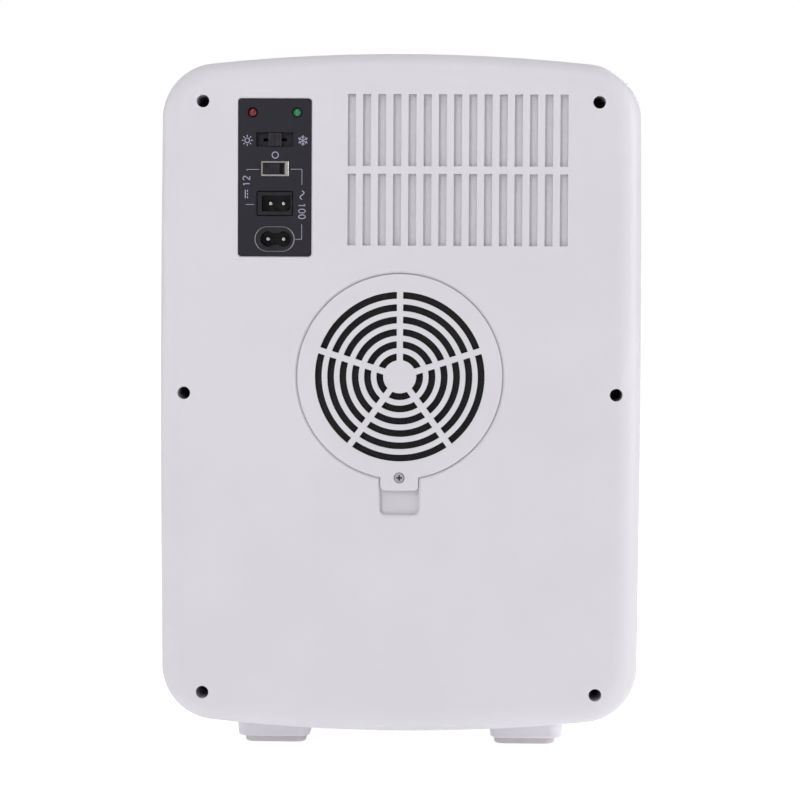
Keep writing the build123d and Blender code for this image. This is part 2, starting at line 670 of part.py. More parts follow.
def cold_block():
    """Aluminium block that carries the cold through the foam."""
    back = SINK_FACE - PELTIER_T
    solid = prism(at(0, FAN_Z, Rectangle(BLOCK_W, BLOCK_H)), COLD_FACE, back)
    for z in (-CLAMP_Z, CLAMP_Z):
        solid -= rod(0, FAN_Z + z, 1.5, back - 22, back + 1)
        solid -= rod(0, FAN_Z + z, 1.5, COLD_FACE - 1, COLD_FACE + 8)
    return solid


def cold_sink():
    """Finned sink inside the compartment."""
    front = COLD_FACE - COLD_BASE_T
    base = block(-40, 40, front, COLD_FACE, FAN_Z - 40, FAN_Z + 40)
    fins = [
        block(x - 0.8, x + 0.8, COLD_FIN_TIP, front + 0.5, FAN_Z - 40, FAN_Z + 40)
        for x in [(i - 6.5) * 5.8 for i in range(14)]
    ]
    sink = fused([base] + fins)
    for z in (-CLAMP_Z, CLAMP_Z):
        sink -= rod(0, FAN_Z + z, 3.8, COLD_FIN_TIP - 1, front)
        sink -= rod(0, FAN_Z + z, 1.7, front - 1, COLD_FACE + 1)
    return sink


def cold_sink_screws():
    front = COLD_FACE - COLD_BASE_T
    return [
        flip_y(screw_y(0, FAN_Z + z, front, front - 12, shank_r=1.48), front)
        for z in (-CLAMP_Z, CLAMP_Z)
    ]


def fan_frame(size, bore, thick, back, hole, hub_r):
    """Square axial-fan frame. Four struts on the front side carry the motor's seat."""
    frame = prism(at(0, FAN_Z, RectangleRounded(size, size, size * 0.045)), back - thick, back)
    frame -= rod(0, FAN_Z, bore, back - thick - 1, back + 1)
    front = back - thick
    strut_t = thick * 0.12
    arms = Sketch() + [
        Rot(0, 0, 45 + 90 * i) * Pos(bore / 2, 0) * Rectangle(bore + 2, size * 0.04) for i in range(4)
    ]
    struts = prism(at(0, FAN_Z, arms + Circle(hub_r)), front, front + strut_t)
    frame += struts & rod(0, FAN_Z, bore + 0.5, front - 1, back + 1)
    for x in (-hole, hole):
        for z in (-hole, hole):
            frame -= rod(x, FAN_Z + z, size * 0.0235, front - 1, back + 1)
    return frame


def fan_rotor(bore, thick, back, hub_r, blades):
    """Hub with pitched blades. It turns about the fan's axis."""
    front = back - thick
    hub_front = front + thick * 0.12 + 0.6
    hub = rod(0, FAN_Z, hub_r, hub_front, back - 1.2)
    hub = fillet(hub.edges().group_by(Axis.Y)[-1], 1.2)
    tip = bore - 0.9
    reach = tip - hub_r + 2
    chord = (back - front) * 0.62
    blade_t = 1.0 + thick * 0.02
    rotor = hub
    middle = (hub_front + back - 1.2) / 2
    for i in range(blades):
        blade = Box(reach + 4, chord, blade_t)
        blade = Pos(hub_r - 2 + reach / 2, 0, 0) * Rot(35, 0, 0) * blade
        rotor += Pos(0, middle, FAN_Z) * Rot(0, i * 360 / blades, 0) * blade
    return rotor & rod(0, FAN_Z, tip, hub_front, back - 1.0)


def fan_screws():
    return [
        screw_y(x, FAN_Z + z, FAN_BACK, FAN_BACK - 37, head_r=3.1, shank_r=1.7)
        for x in (-FAN_HOLE, FAN_HOLE) for z in (-FAN_HOLE, FAN_HOLE)
    ]


def inner_fan_cover():
    """White grille box over the cold sink and its fan."""
    square = RectangleRounded(INNER_COVER, INNER_COVER, 10)
    hollow = RectangleRounded(INNER_COVER - 4, INNER_COVER - 4, 8)
    box = prism(at(0, FAN_Z, square), INNER_COVER_FRONT, CAVITY_BACK)
    box = fillet(box.edges().group_by(Axis.Y)[0], 3)
    box -= prism(at(0, FAN_Z, hollow), INNER_COVER_FRONT + 2, CAVITY_BACK + 1)
    slots = fan_grille_slots(4, 6.0, 5.6, 3.2, 4, 3.0)
    box -= prism(at(0, FAN_Z, slots), INNER_COVER_FRONT - 1, INNER_COVER_FRONT + 3)
    for side in (-1, 1):
        for i in range(8):
            x = (i - 3.5) * 10
            z = FAN_Z + side * INNER_COVER / 2
            box -= block(x - 2.5, x + 2.5, 38, 50, z - 4, z + 4)
    for x in (-48, 48):
        for z in (-48, 48):
            box += rod(x, FAN_Z + z, 3.6, INNER_COVER_FRONT + 1, CAVITY_BACK)
            box -= rod(x, FAN_Z + z, 1.6, INNER_COVER_FRONT - 1, CAVITY_BACK + 1)
            box -= rod(x, FAN_Z + z, 3.0, INNER_COVER_FRONT - 1, INNER_COVER_FRONT + 1.6)
    return box


def inner_cover_screws():
    seat = INNER_COVER_FRONT + 1.6
    return [
        flip_y(screw_y(x, FAN_Z + z, seat, seat - 34, head_t=1.6, shank_r=1.4), seat)
        for x in (-48, 48) for z in (-48, 48)
    ]


# ================================================================ electrics
def power_board():
    board = prism(at(0, POWER_Z, RectangleRounded(POWER_W, POWER_H, 2)), POWER_FACE - 1.6, POWER_FACE)
    for x, z in board_screw_places():
        board -= rod(x, z, 1.6, POWER_FACE - 3, POWER_FACE + 1)
    return board


def board_screws():
    return [
        screw_y(x, z, POWER_FACE, POWER_FACE - 8, head_r=2.6, shank_r=1.28, head_t=1.8)
        for x, z in board_screw_places()
    ]


def transformer():
    """Ferrite core round a wound bobbin."""
    x, z, y = 12, POWER_Z - 1, POWER_FACE
    core = block(x - 16, x + 16, y + 3, y + 25, z - 15, z + 15)
    core -= block(x - 10, x + 10, y + 2, y + 26, z - 9, z + 9)
    winding = block(x - 9.8, x + 9.8, y, y + 27, z - 8.8, z + 8.8)
    return [core, fillet(winding.edges().filter_by(Axis.Y), 4)]


def capacitors():
    """Electrolytic cans: (x, height over the board's middle, radius, length)."""
    places = ((-58, 17, 9, 27), (-36, 17, 9, 27), (46, -23, 6.3, 20), (62, -23, 6.3, 20), (46, -5, 5, 16))
    cans = []
    for x, rise, r, length in places:
        can = rod(x, POWER_Z + rise, r, POWER_FACE, POWER_FACE + length)
        cans.append(fillet(can.edges().group_by(Axis.Y)[-1], 1.0))
    return cans


def heat_spreaders():
    """Bent aluminium plates that cool the board's transistors."""
    plates = []
    low, high = POWER_Z - 29, POWER_Z + 7
    for x in (-22, 36):
        wall = block(x - 1, x + 1, POWER_FACE, POWER_FACE + 24, low, high)
        plates.append(wall + block(x - 1, x + 8, POWER_FACE + 22, POWER_FACE + 24, low, high))
    return plates


def choke():
    return Pos(-48, POWER_FACE + 5.5, POWER_Z - 17) * Rot(90, 0, 0) * Torus(9, 5)


LEAD_END_Z = POWER_Z + 36  # top of the wire-to-board headers


def board_connectors():
    """White wire-to-board headers, one for each pair of leads."""
    return [
        block(x - 5, x + 5, POWER_FACE, POWER_FACE + 9, LEAD_END_Z - 7, LEAD_END_Z)
        for x in (16, 44, 66)
    ]


def lead(points, radius, bend):
    """A wire along straight runs joined by tangent arcs."""
    path = FilletPolyline(*points, radius=bend)
    section = Plane(origin=path @ 0, z_dir=path % 0) * Circle(radius)
    return sweep(section, path=path)


def mains_leads():
    y, end = POWER_FACE + 4.5, LEAD_END_Z
    top = AC_Z - 3.7
    leads = []
    for x in (63.5, 68.5):
        points = [
            (x, BOARD_FACE - 1.6, top), (x, 118, top), (x, 116, end + 80), (x, y, end + 29), (x, y, end),
        ]
        leads.append(lead(points, 1.1, 7))
    return leads


def module_leads():
    y, end = POWER_FACE + 4.5, LEAD_END_Z
    leads = []
    for x in (14.2, 17.8):
        points = [(x, 90.1, FAN_Z - PELTIER / 2), (x, 90.1, end + 35), (x, y, end + 17), (x, y, end)]
        leads.append(lead(points, 0.8, 9))
    return leads


def fan_lead():
    y, end = POWER_FACE + 4.5, LEAD_END_Z
    side = FAN_Z - 28
    points = [
        (FAN_SIZE / 2, 135, side), (60, 135, side), (60, 124, end + 29), (44, y, end + 15), (44, y, end),
    ]
    return lead(points, 1.2, 6)


# ================================================================ shelf, feet
def shelf():
    """Coated wire shelf that lies on the liner's ledges."""
    r, wire = 1.8, 1.2
    x_out = CAVITY_HALF_W - 1.2 - r
    y0, y1 = -53.0, CAVITY_BACK - 1.0 - r
    z = SHELF_Z + r
    bars = []
    for x in (-x_out, x_out):
        bars.append(Pos(x, (y0 + y1) / 2, z) * Rot(90, 0, 0) * Cylinder(r, y1 - y0))
    for y in (y0, y1):
        bars.append(Pos(0, y, z) * Rot(0, 90, 0) * Cylinder(r, 2 * x_out))
        bars += [Pos(x, y, z) * Sphere(r) for x in (-x_out, x_out)]
    bars.append(Pos(0, (y0 + y1) / 2, z) * Rot(0, 90, 0) * Cylinder(wire, 2 * x_out))
    count = 15
    for i in range(count):
        x = (i - (count - 1) / 2) * 13.0
        bars.append(Pos(x, (y0 + y1) / 2, z + 0.9) * Rot(90, 0, 0) * Cylinder(wire, y1 - y0))
    return fused(bars)


def foot(x, y):
    """A moulded foot whose top follows the cabinet's curved underside."""
    base = Plane.XY.offset(PAD_HEIGHT) * RectangleRounded(40.4, 28, 7)
    body = Pos(x, y, 0) * extrude(base, amount=FOOT_HEIGHT, taper=-6)
    body -= prism(outline(), CABINET_FRONT, REAR_SPLIT)
    body = fillet(body.edges().group_by(Axis.Z)[0], 1.4)
    body -= post(x, y, 4.4, PAD_HEIGHT - 1, PAD_HEIGHT + 3)
    return body - post(x, y, 2.2, PAD_HEIGHT, PAD_HEIGHT + 20)


def foot_pad(x, y):
    """Soft pad under the foot, set a little towards the middle of the body."""
    pad = extrude(RectangleRounded(34.5, 24, 6), amount=PAD_HEIGHT)
    pad = fillet(pad.edges().group_by(Axis.Z)[0], 1.4)
    inward = -math.copysign(0.8, x)
    return Pos(x + inward, y, 0) * pad


def foot_screw(x, y):
    head_z = PAD_HEIGHT + 3
    head = post(x, y, 3.8, head_z - 2.4, head_z)
    tip = post(x, y, 2.05, head_z, FOOT_HEIGHT + 12)
    tip = chamfer(tip.edges().group_by(Axis.Z)[-1], 1)
    slot = Box(4.4, 1.1, 2.4) + Box(1.1, 4.4, 2.4)
    return head + tip - Pos(x, y, head_z - 2.4) * slot


def feet_places():
    return [(x, y) for x in (-FOOT_X, FOOT_X) for y in FOOT_Y]


# ================================================================ hinges
def hinge_bracket(z):
    """Arm that reaches from behind the cabinet's flange into the door, with the pin's seat at its end."""
    arm = block(
        HINGE_X - LUG_R, HINGE_X + LUG_R, HINGE_Y, CABINET_FRONT + 4, z - LUG_HALF, z + LUG_HALF
    )
    arm += post(HINGE_X, HINGE_Y, LUG_R, z - LUG_HALF, z + LUG_HALF)
    front = CABINET_FRONT + 2
    arm += block(HINGE_X - 8, HINGE_X + 7.5, front, front + 2, z - 16, z + 16)
    arm -= post(HINGE_X, HINGE_Y, HINGE_BUSH_R, z - 10, z + 10)
    for dz in (-10, 10):
        arm -= rod(HINGE_X, z + dz, 1.6, front - 1, front + 5)
    return arm


def hinge_bush(z):
    ring = post(HINGE_X, HINGE_Y, HINGE_BUSH_R, z - LUG_HALF, z + LUG_HALF)
    return ring - post(HINGE_X, HINGE_Y, HINGE_PIN_R + 0.05, z - 10, z + 10)


def hinge_pin(z):
    pin = post(HINGE_X, HINGE_Y, HINGE_PIN_R, z - 12, z + 12)
    return chamfer(pin.edges().filter_by(GeomType.CIRCLE), 0.5)


def hinge_bracket_screws():
    """Countersunk screws, flush with the flange."""
    screws = []
    for z in HINGE_Z:
        for dz in (-10, 10):
            place = Pos(HINGE_X, CABINET_FRONT + 1, z + dz) * Rot(90, 0, 0)
            shank = rod(HINGE_X, z + dz, 1.5, CABINET_FRONT + 1, CABINET_FRONT + 10)
            screw = place * Cone(1.55, 3.5, 1.96) + shank
            screw -= cross_slots(HINGE_X, z + dz, CABINET_FRONT - 1, CABINET_FRONT + 1)
            screws.append(screw)
    return screws


# ================================================================ door
def hinge_notch(z):
    """The room that the bracket needs as the door turns about it."""
    return block(HINGE_X - 6, WIDTH, HINGE_Y - 10, DOOR_BACK + 1, z - LUG_HALF - 0.6, z + LUG_HALF + 0.6)


GRIP_HALF = 48.0
GRIP_Z = FOOT_HEIGHT + 190
GRIP_Y = (-135.0, -111.0)
GRIP_DEPTH = 15.0


def grip_block(grow=0.0):
    half = WIDTH / 2
    return block(
        -half - 1, -half + GRIP_DEPTH + grow, GRIP_Y[0] - grow, GRIP_Y[1] + grow,
        GRIP_Z - GRIP_HALF - grow, GRIP_Z + GRIP_HALF + grow,
    )


def door_outer():
    """Front casing of the door, with hinge blocks and the cut for the grip."""
    door = rounded_casing(0, DOOR_BACK, DOOR_FRONT, RIM_R, PARTING)
    door -= rounded_casing(WALL, DOOR_BACK, DOOR_FRONT + WALL, RIM_R - WALL)
    for z in HINGE_Z:
        solid = block(HINGE_X - 9, HINGE_X + 10.2, HINGE_Y - 12.5, DOOR_BACK - 2 - FIT, z - 16, z + 16)
        door += solid
        door -= hinge_notch(z)
        door -= post(HINGE_X, HINGE_Y, HINGE_PIN_R + 0.01, z - 12.2, z + 12.2)
    return door - grip_block(0.15)


def plug_outline(inset=0.0):
    w = 2 * (CAVITY_HALF_W - 5 - inset)
    return at(0, CAVITY_Z, RectangleRounded(w, CAVITY_H - 10 - 2 * inset, 14 - inset))


PLUG_BACK = DOOR_BACK + 12


def door_inner():
    """Inner face of the door: a pan that closes the casing, with a hollow plug for the compartment."""
    inner = prism(outline(WALL + FIT), DOOR_BACK - 2, DOOR_BACK)
    plug = prism(plug_outline(), DOOR_BACK - 1, PLUG_BACK)
    plug = fillet(plug.edges().group_by(Axis.Y)[-1], 3)
    inner += plug
    inner -= prism(plug_outline(2), DOOR_BACK - 3, PLUG_BACK - 2)
    for x in (-88, 88):
        for z in RACK_Z:
            inner += block(x - 3, x + 3, PLUG_BACK - 1, PLUG_BACK + 3, z + 4, z + 16)
    for z in HINGE_Z:
        inner -= hinge_notch(z)
    return inner


def door_foam():
    foam = rounded_casing(WALL + FIT, DOOR_BACK - 2 - FIT, DOOR_FRONT + WALL + FIT, RIM_R - WALL - FIT)
    foam += prism(plug_outline(2 + FIT), DOOR_BACK - 3, PLUG_BACK - 2 - FIT)
    for z in HINGE_Z:
        foam -= block(HINGE_X - 9.3, WIDTH, HINGE_Y - 13, DOOR_BACK + 1, z - 16.4, z + 16.4)
    return foam - grip_block(0.3)


def gasket_outline(width, height, radius):
    return at(0, CAVITY_Z, RectangleRounded(width, height, radius))


GASKET_W = 230.0
GASKET_H = CAVITY_H + 24
GASKET_BAND = 10.0


def ring_band(inset, band, radius):
    outer = gasket_outline(GASKET_W - 2 * inset, GASKET_H - 2 * inset, radius - inset)
    inner = gasket_outline(
        GASKET_W - 2 * (inset + band), GASKET_H - 2 * (inset + band), radius - inset - band
    )
    return outer - inner


def door_gasket():
    """Soft seal round the door, grooved on the door's side for its magnet."""
    gasket = prism(ring_band(0, GASKET_BAND, 24), DOOR_BACK, CABINET_FRONT - 0.35)
    return gasket - prism(ring_band(1.9, 6.2, 24), DOOR_BACK - 1, DOOR_BACK + 1.4)


def gasket_magnet():
    return prism(ring_band(2, 6.0, 24), DOOR_BACK + 0.05, DOOR_BACK + 1.35)


def door_grip():
    """Finger cup let into the free edge of the door."""
    shape = rounded_casing(0, DOOR_BACK, DOOR_FRONT, RIM_R)
    cup = grip_block() & shape
    half = WIDTH / 2
    hollow = block(
        -half - 2, -half + GRIP_DEPTH - 2, GRIP_Y[0] + 2, GRIP_Y[1] - 2,
        GRIP_Z - GRIP_HALF + 2, GRIP_Z + GRIP_HALF - 2,
    )
    hollow = fillet(hollow.edges().filter_by(Axis.X), 5)
    return cup - hollow


RACK_Z = (FOOT_HEIGHT + 52, FOOT_HEIGHT + 190)
RACK_DEPTH = 30.0


def door_rack(z):
    """Open tray that hooks on the plug's ribs and holds small bottles."""
    y0, y1 = PLUG_BACK + 0.2, PLUG_BACK + RACK_DEPTH
    tray = block(-92, 92, y0, y1, z, z + 26)
    tray = fillet(tray.edges().filter_by(Axis.Z).group_by(Axis.Y)[-1], 8)
    inside = block(-90, 90, y0 + 1.8, y1 - 2, z + 2, z + 30)
    tray -= fillet(inside.edges().filter_by(Axis.Z).group_by(Axis.Y)[-1], 6.5)
    tray -= block(-70, 70, y0 - 1, y0 + 3, z + 8, z + 30)
    for x in (-88, 88):
        tray -= block(x - 3.2, x + 3.2, y0 - 1, y0 + 3.1, z + 3.8, z + 16.3)
    return tray


# ================================================================ all parts
def all_parts():
    return {
        "cabinet_shell": cabinet_shell(),
        "bulkhead": bulkhead(),
        "inner_liner": inner_liner(),
        "front_frame": front_frame(),
        "cabinet_foam": cabinet_foam(),
        "keeper_frame": keeper_frame(),
        "rear_cover": rear_cover(),
        "rear_cover_screws": rear_cover_screws(),
        "vent_baffle": vent_baffle(),
        "fan_cover": fan_cover(),
        "fan_cover_screw": fan_cover_screw(),
        "filter_pad": filter_pad(),
        "control_panel": control_panel(),
        "led_red": led(PANEL_X + LED_X),
        "led_green": led(PANEL_X - LED_X),
        "switch_bodies": [mode_switch_body(), volt_switch_body()],
        "mode_switch_knob": mode_switch_knob(),
        "voltage_switch_frame": volt_switch_frame(),
        "voltage_switch_knob": volt_switch_knob(),
        "dc_inlet": dc_inlet(),
        "ac_inlet": ac_inlet(),
        "inlet_pins": [
            *socket_pins(DC_PINS_X, DC_Z, DC_PIN_X, 152.8),
            *socket_pins(AC_MOUTH_X, AC_Z, AC_PIN_X, 153.5),
        ],
        "control_board": control_board(),
        "hot_sink": hot_sink(),
        "bulkhead_screws": sink_screws() + board_screws(),
        "clamp_washers": clamp_washers(),
        "clamp_screws": clamp_screws() + cold_sink_screws(),
        "peltier_module": peltier_module(),
        "module_seal": module_seal(),
        "cold_block": cold_block(),
        "cold_sink": cold_sink(),
        "fan_frame": fan_frame(FAN_SIZE, FAN_BORE_R, FAN_THICK, FAN_BACK, FAN_HOLE, 18),
        "fan_rotor": fan_rotor(FAN_BORE_R, FAN_THICK, FAN_BACK, 17.5, 7),
        "fan_screws": fan_screws() + inner_cover_screws(),
        "inner_fan_frame": fan_frame(INNER_FAN, 28.3, INNER_FAN_T, INNER_FAN_BACK, 25, 12.5),
        "inner_fan_rotor": fan_rotor(28.3, INNER_FAN_T, INNER_FAN_BACK, 12, 9),
        "inner_fan_cover": inner_fan_cover(),
        "power_board": power_board(),
        "power_transformer": transformer(),
        "power_capacitors": capacitors(),
        "heat_spreaders": heat_spreaders(),
        "board_connectors": board_connectors() + [choke()],
        "mains_leads": mains_leads(),
        "cooler_leads": module_leads() + [fan_lead()],
        "shelf": shelf(),
        "feet": [foot(x, y) for x, y in feet_places()],
        "foot_pads": [foot_pad(x, y) for x, y in feet_places()],
        "foot_screws": [foot_screw(x, y) for x, y in feet_places()],
        "hinge_brackets": [hinge_bracket(z) for z in HINGE_Z],
        "hinge_bracket_screws": hinge_bracket_screws(),
        "hinge_bushes": [hinge_bush(z) for z in HINGE_Z],
        "hinge_pins": [hinge_pin(z) for z in HINGE_Z],
        "door_outer": door_outer(),
        "door_inner": door_inner(),
        "door_foam": door_foam(),
        "door_gasket": door_gasket(),
        "gasket_magnet": gasket_magnet(),
        "door_grip": door_grip(),
        "lower_door_rack": door_rack(RACK_Z[0]),
        "upper_door_rack": door_rack(RACK_Z[1]),
    }


os.makedirs("parts", exist_ok=True)
for name, made in all_parts().items():
    pieces = made if isinstance(made, list) else [made]
    solids = [solid for piece in pieces for solid in piece.solids()]
    shape = solids[0] if len(solids) == 1 else Compound(children=solids)
    export_step(shape, f"parts/{name}.step")
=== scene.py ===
"""The looks of a small thermoelectric fridge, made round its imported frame.

Lengths are metres and angles radians. The door faces -Y, the fan grille and the sockets face +Y, and
+Z is up.
"""

import math

import bmesh
import bpy
import numpy as np
from mathutils import Matrix, Vector


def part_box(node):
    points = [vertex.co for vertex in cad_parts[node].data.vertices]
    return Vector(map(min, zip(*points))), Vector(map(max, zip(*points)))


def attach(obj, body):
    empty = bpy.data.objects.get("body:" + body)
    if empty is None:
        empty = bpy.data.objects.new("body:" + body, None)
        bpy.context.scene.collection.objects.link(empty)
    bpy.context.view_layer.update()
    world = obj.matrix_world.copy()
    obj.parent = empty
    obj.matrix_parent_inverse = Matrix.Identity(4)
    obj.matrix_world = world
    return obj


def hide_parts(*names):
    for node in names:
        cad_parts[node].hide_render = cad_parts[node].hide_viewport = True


bl_info = {
    "name": "Mini fridge",
    "version": (1, 0, 0),
    "blender": (4, 5, 0),
    "location": "3D View > Sidebar > Fridge",
    "description": "Finishes and fine pieces of a thermoelectric mini fridge",
    "category": "Object",
}

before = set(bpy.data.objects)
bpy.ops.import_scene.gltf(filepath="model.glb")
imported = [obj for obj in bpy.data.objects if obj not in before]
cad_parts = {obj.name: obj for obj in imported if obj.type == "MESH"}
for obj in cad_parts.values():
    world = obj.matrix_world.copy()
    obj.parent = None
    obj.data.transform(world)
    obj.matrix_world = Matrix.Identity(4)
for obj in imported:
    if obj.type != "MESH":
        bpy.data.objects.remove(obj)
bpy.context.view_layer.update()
MM = 0.001
TURN = 2 * math.pi

LIT_POINT = (0, 0, 0.2)
FLOOR_HALF = 40.0
FLOOR_GLOW = 0.62
SIDE_GLOW = 0.46
END_GLOW = 0.33


def tone(red, green, blue):
    """A screen colour from 0 to 255 as linear light."""
    screen = np.array([red, green, blue]) / 255
    light = np.where(screen <= 0.04045, screen / 12.92, ((screen + 0.055) / 1.055) ** 2.4)
    return tuple(float(c) for c in light)


# ---------------------------------------------------------------- what a user may change


class FRIDGE_PG_sizes(bpy.types.PropertyGroup):
    """Sizes of the pieces made here. The casings' own sizes come from the frame."""

    fan_blades: bpy.props.IntProperty(
        name="Rear fan blades", description="Blades on the fan behind the grille", default=7, min=3
    )
    cold_fan_blades: bpy.props.IntProperty(
        name="Inner fan blades", description="Blades on the fan in the compartment", default=9, min=3
    )
    pore: bpy.props.FloatProperty(
        name="Filter pore", description="Depth of the dust filter's pores", default=0.35 * MM,
        subtype="DISTANCE",
    )
    print_width: bpy.props.FloatProperty(
        name="Printed line", description="Width of the lines printed on the panel",
        default=0.27 * MM, subtype="DISTANCE",
    )
    camera_distance: bpy.props.FloatProperty(
        name="Camera distance", description="From the back face to the camera", default=1.5,
        subtype="DISTANCE",
    )
    camera_yaw: bpy.props.FloatProperty(
        name="Camera yaw", description="How far the camera stands to one side",
        default=math.radians(1.38), subtype="ANGLE",
    )
    camera_pitch: bpy.props.FloatProperty(
        name="Camera pitch", description="How far the camera looks down",
        default=math.radians(2.3), subtype="ANGLE",
    )
    camera_roll: bpy.props.FloatProperty(
        name="Camera roll", description="Turn about the line of sight", default=math.radians(0.28),
        subtype="ANGLE",
    )
    lens: bpy.props.FloatProperty(
        name="Lens", description="Focal length on a 36 mm sensor, in millimetres", default=122.8,
        unit="CAMERA",
    )


def colour_prop(name, description, default):
    return bpy.props.FloatVectorProperty(
        name=name, description=description, default=default, size=3, subtype="COLOR", min=0, max=1
    )


class FRIDGE_PG_colours(bpy.types.PropertyGroup):
    """Base colours of the finishes."""

    shell: colour_prop("Casing", "White moulded casings", tone(214, 212, 217))
    liner: colour_prop("Liner", "Glossy lining of the compartment", tone(224, 224, 227))
    panel: colour_prop("Panel", "Dark switch and socket panel", tone(38, 36, 43))
    black: colour_prop("Black parts", "Switches, sockets and fans", tone(31, 29, 35))
    ink: colour_prop("Panel ink", "Printed marks", tone(170, 168, 192))
    red: colour_prop("Red lamp", "Lens of the warming lamp", tone(112, 10, 22))
    green: colour_prop("Green lamp", "Lens of the cooling lamp", tone(38, 122, 76))
    nickel: colour_prop("Nickel", "Plated pins and frames", tone(196, 193, 190))
    steel: colour_prop("Steel", "Zinc-plated screws and hinges", tone(190, 190, 192))
    pad: colour_prop("Foot pads", "Soft pads under the feet", tone(219, 213, 216))
    seal: colour_prop("Door seal", "Soft grey seal", tone(196, 197, 200))
    filter: colour_prop("Dust filter", "Open-cell foam", tone(24, 22, 24))


# ---------------------------------------------------------------- shader sums


class Wire:
    """A shader socket that takes part in Python sums: each sum adds the Math node it needs."""

    def __init__(self, graph, socket):
        self.graph = graph
        self.socket = socket

    def maths(self, operation, *others):
        return self.graph.maths(operation, self, *others)

    def __add__(self, other):
        return self.maths("ADD", other)

    def __sub__(self, other):
        return self.maths("SUBTRACT", other)

    def __mul__(self, other):
        return self.maths("MULTIPLY", other)

    def __truediv__(self, other):
        return self.maths("DIVIDE", other)

    def __abs__(self):
        return self.maths("ABSOLUTE")

    __radd__ = __add__
    __rmul__ = __mul__

    def __rsub__(self, other):
        return self.graph.maths("SUBTRACT", other, self)

    def __rtruediv__(self, other):
        return self.graph.maths("DIVIDE", other, self)

    def least(self, other):
        return self.maths("MINIMUM", other)

    def sine(self):
        return self.maths("SINE")

    def root(self):
        return self.maths("SQRT")

    def step(self, low, high):
        """0 below low, 1 above high, and an S-curve between."""
        return self.graph.node(
            "ShaderNodeMapRange", {"interpolation_type": "SMOOTHSTEP"}, [self, low, high, 0.0, 1.0]
        )


class Graph:
    """The nodes of a material or of the surroundings."""

    def __init__(self, owner):
        owner.use_nodes = True
        self.tree = owner.node_tree
        self.tree.nodes.clear()

    def feed(self, socket, value):
        """Links a wire to an input, or sets the input to a value."""
        if isinstance(value, Wire):
            self.tree.links.new(value.socket, socket)
        elif socket.type == "RGBA" and len(value) == 3:
            socket.default_value = (*value, 1.0)
        else:
            socket.default_value = value

    def node(self, kind, settings, inputs, output=0):
        """A node of that type, with its settings made first, then its inputs by place or by name.
        Gives the wire of one of its outputs, or nothing for a node that has none."""
        made = self.tree.nodes.new(kind)
        for name, value in settings.items():
            setattr(made, name, value)
        pairs = inputs.items() if isinstance(inputs, dict) else enumerate(inputs)
        for key, value in pairs:
            self.feed(made.inputs[key], value)
        return Wire(self, made.outputs[output]) if made.outputs else None

    def maths(self, operation, *terms):
        return self.node("ShaderNodeMath", {"operation": operation}, terms)


class Finish(Graph):
    """One material: a Principled shader with its steady values, and the nodes that feed it."""

    def __init__(self, name, steady=None):
        self.material = bpy.data.materials.new(name)
        super().__init__(self.material)
        surface = self.node("ShaderNodeBsdfPrincipled", {}, steady or {})
        self.node("ShaderNodeOutputMaterial", {}, [surface])
        self.shader = surface.socket.node

    def place(self):
        """Where a point of the surface lies in the frame, in metres."""
        return self.node("ShaderNodeTexCoord", {}, {}, "Object")

    def along(self, axis):
        """One coordinate of the place."""
        return self.node("ShaderNodeSeparateXYZ", {}, [self.place()], "XYZ".index(axis))

    def facing(self, axis):
        """One coordinate of the surface's direction."""
        normal = self.node("ShaderNodeNewGeometry", {}, {}, "Normal")
        return self.node("ShaderNodeSeparateXYZ", {}, [normal], "XYZ".index(axis))

    def squeezed(self, scale):
        """The place, with each axis multiplied, so that a pattern stretches along the small ones."""
        return self.node("ShaderNodeMapping", {}, {"Vector": self.place(), "Scale": scale})

    def noise(self, size, detail=2.0, rough=0.5, place=None):
        """Soft noise from 0 to 1 whose lumps are about that wide, in metres."""
        sockets = {
            "Vector": place or self.place(), "Scale": 1 / size, "Detail": detail, "Roughness": rough,
        }
        return self.node("ShaderNodeTexNoise", {}, sockets)

    def cells(self, size):
        """Distance pattern of cells about that wide, in metres."""
        return self.node("ShaderNodeTexVoronoi", {}, {"Vector": self.place(), "Scale": 1 / size})

    def mix(self, share, first, second):
        """From the first colour to the second. The colour sockets are inputs 6 and 7 and output 2."""
        return self.node("ShaderNodeMix", {"data_type": "RGBA"}, {0: share, 6: first, 7: second}, 2)

    def colour(self, value):
        self.feed(self.shader.inputs["Base Color"], value)

    def rough(self, value):
        self.feed(self.shader.inputs["Roughness"], value)

    def metal(self, value):
        self.feed(self.shader.inputs["Metallic"], value)

    def bump(self, height, depth):
        """Relief of that depth in metres."""
        normal = self.node("ShaderNodeBump", {}, {"Distance": depth, "Height": height})
        self.feed(self.shader.inputs["Normal"], normal)


def shade(colour, share):
    """A colour made darker or lighter by a share."""
    return tuple(min(1.0, c * share) for c in colour)


# ---------------------------------------------------------------- finishes


def casing_finish(colours, name="casing_white", share=1.0):
    """White ABS with a fine spark-eroded grain, faint clouding, and dust caught at the parting lines."""
    f = Finish(name, {"Specular IOR Level": 0.42})
    base = shade(tuple(colours.shell), share)
    cloud = f.noise(60 * MM, 3)
    flow = f.noise(9 * MM, 2)
    grain = f.noise(0.45 * MM, 2, 0.6)
    depth = f.along("Y")
    front, rear = (corner.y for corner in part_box("cabinet_shell"))
    gap = abs(depth - rear).least(abs(depth - front))
    dust = (1 - gap.step(0.3 * MM, 2.2 * MM)) * (0.55 + 0.45 * flow)
    clean = f.mix(cloud.step(0.35, 0.65), shade(base, 0.985), shade(base, 1.01))
    f.colour(f.mix(dust * 0.35, clean, shade(base, 0.72)))
    f.rough(0.36 + 0.07 * cloud + 0.06 * grain + 0.15 * dust)
    f.bump(grain + 0.35 * flow, 0.035 * MM)
    return f.material


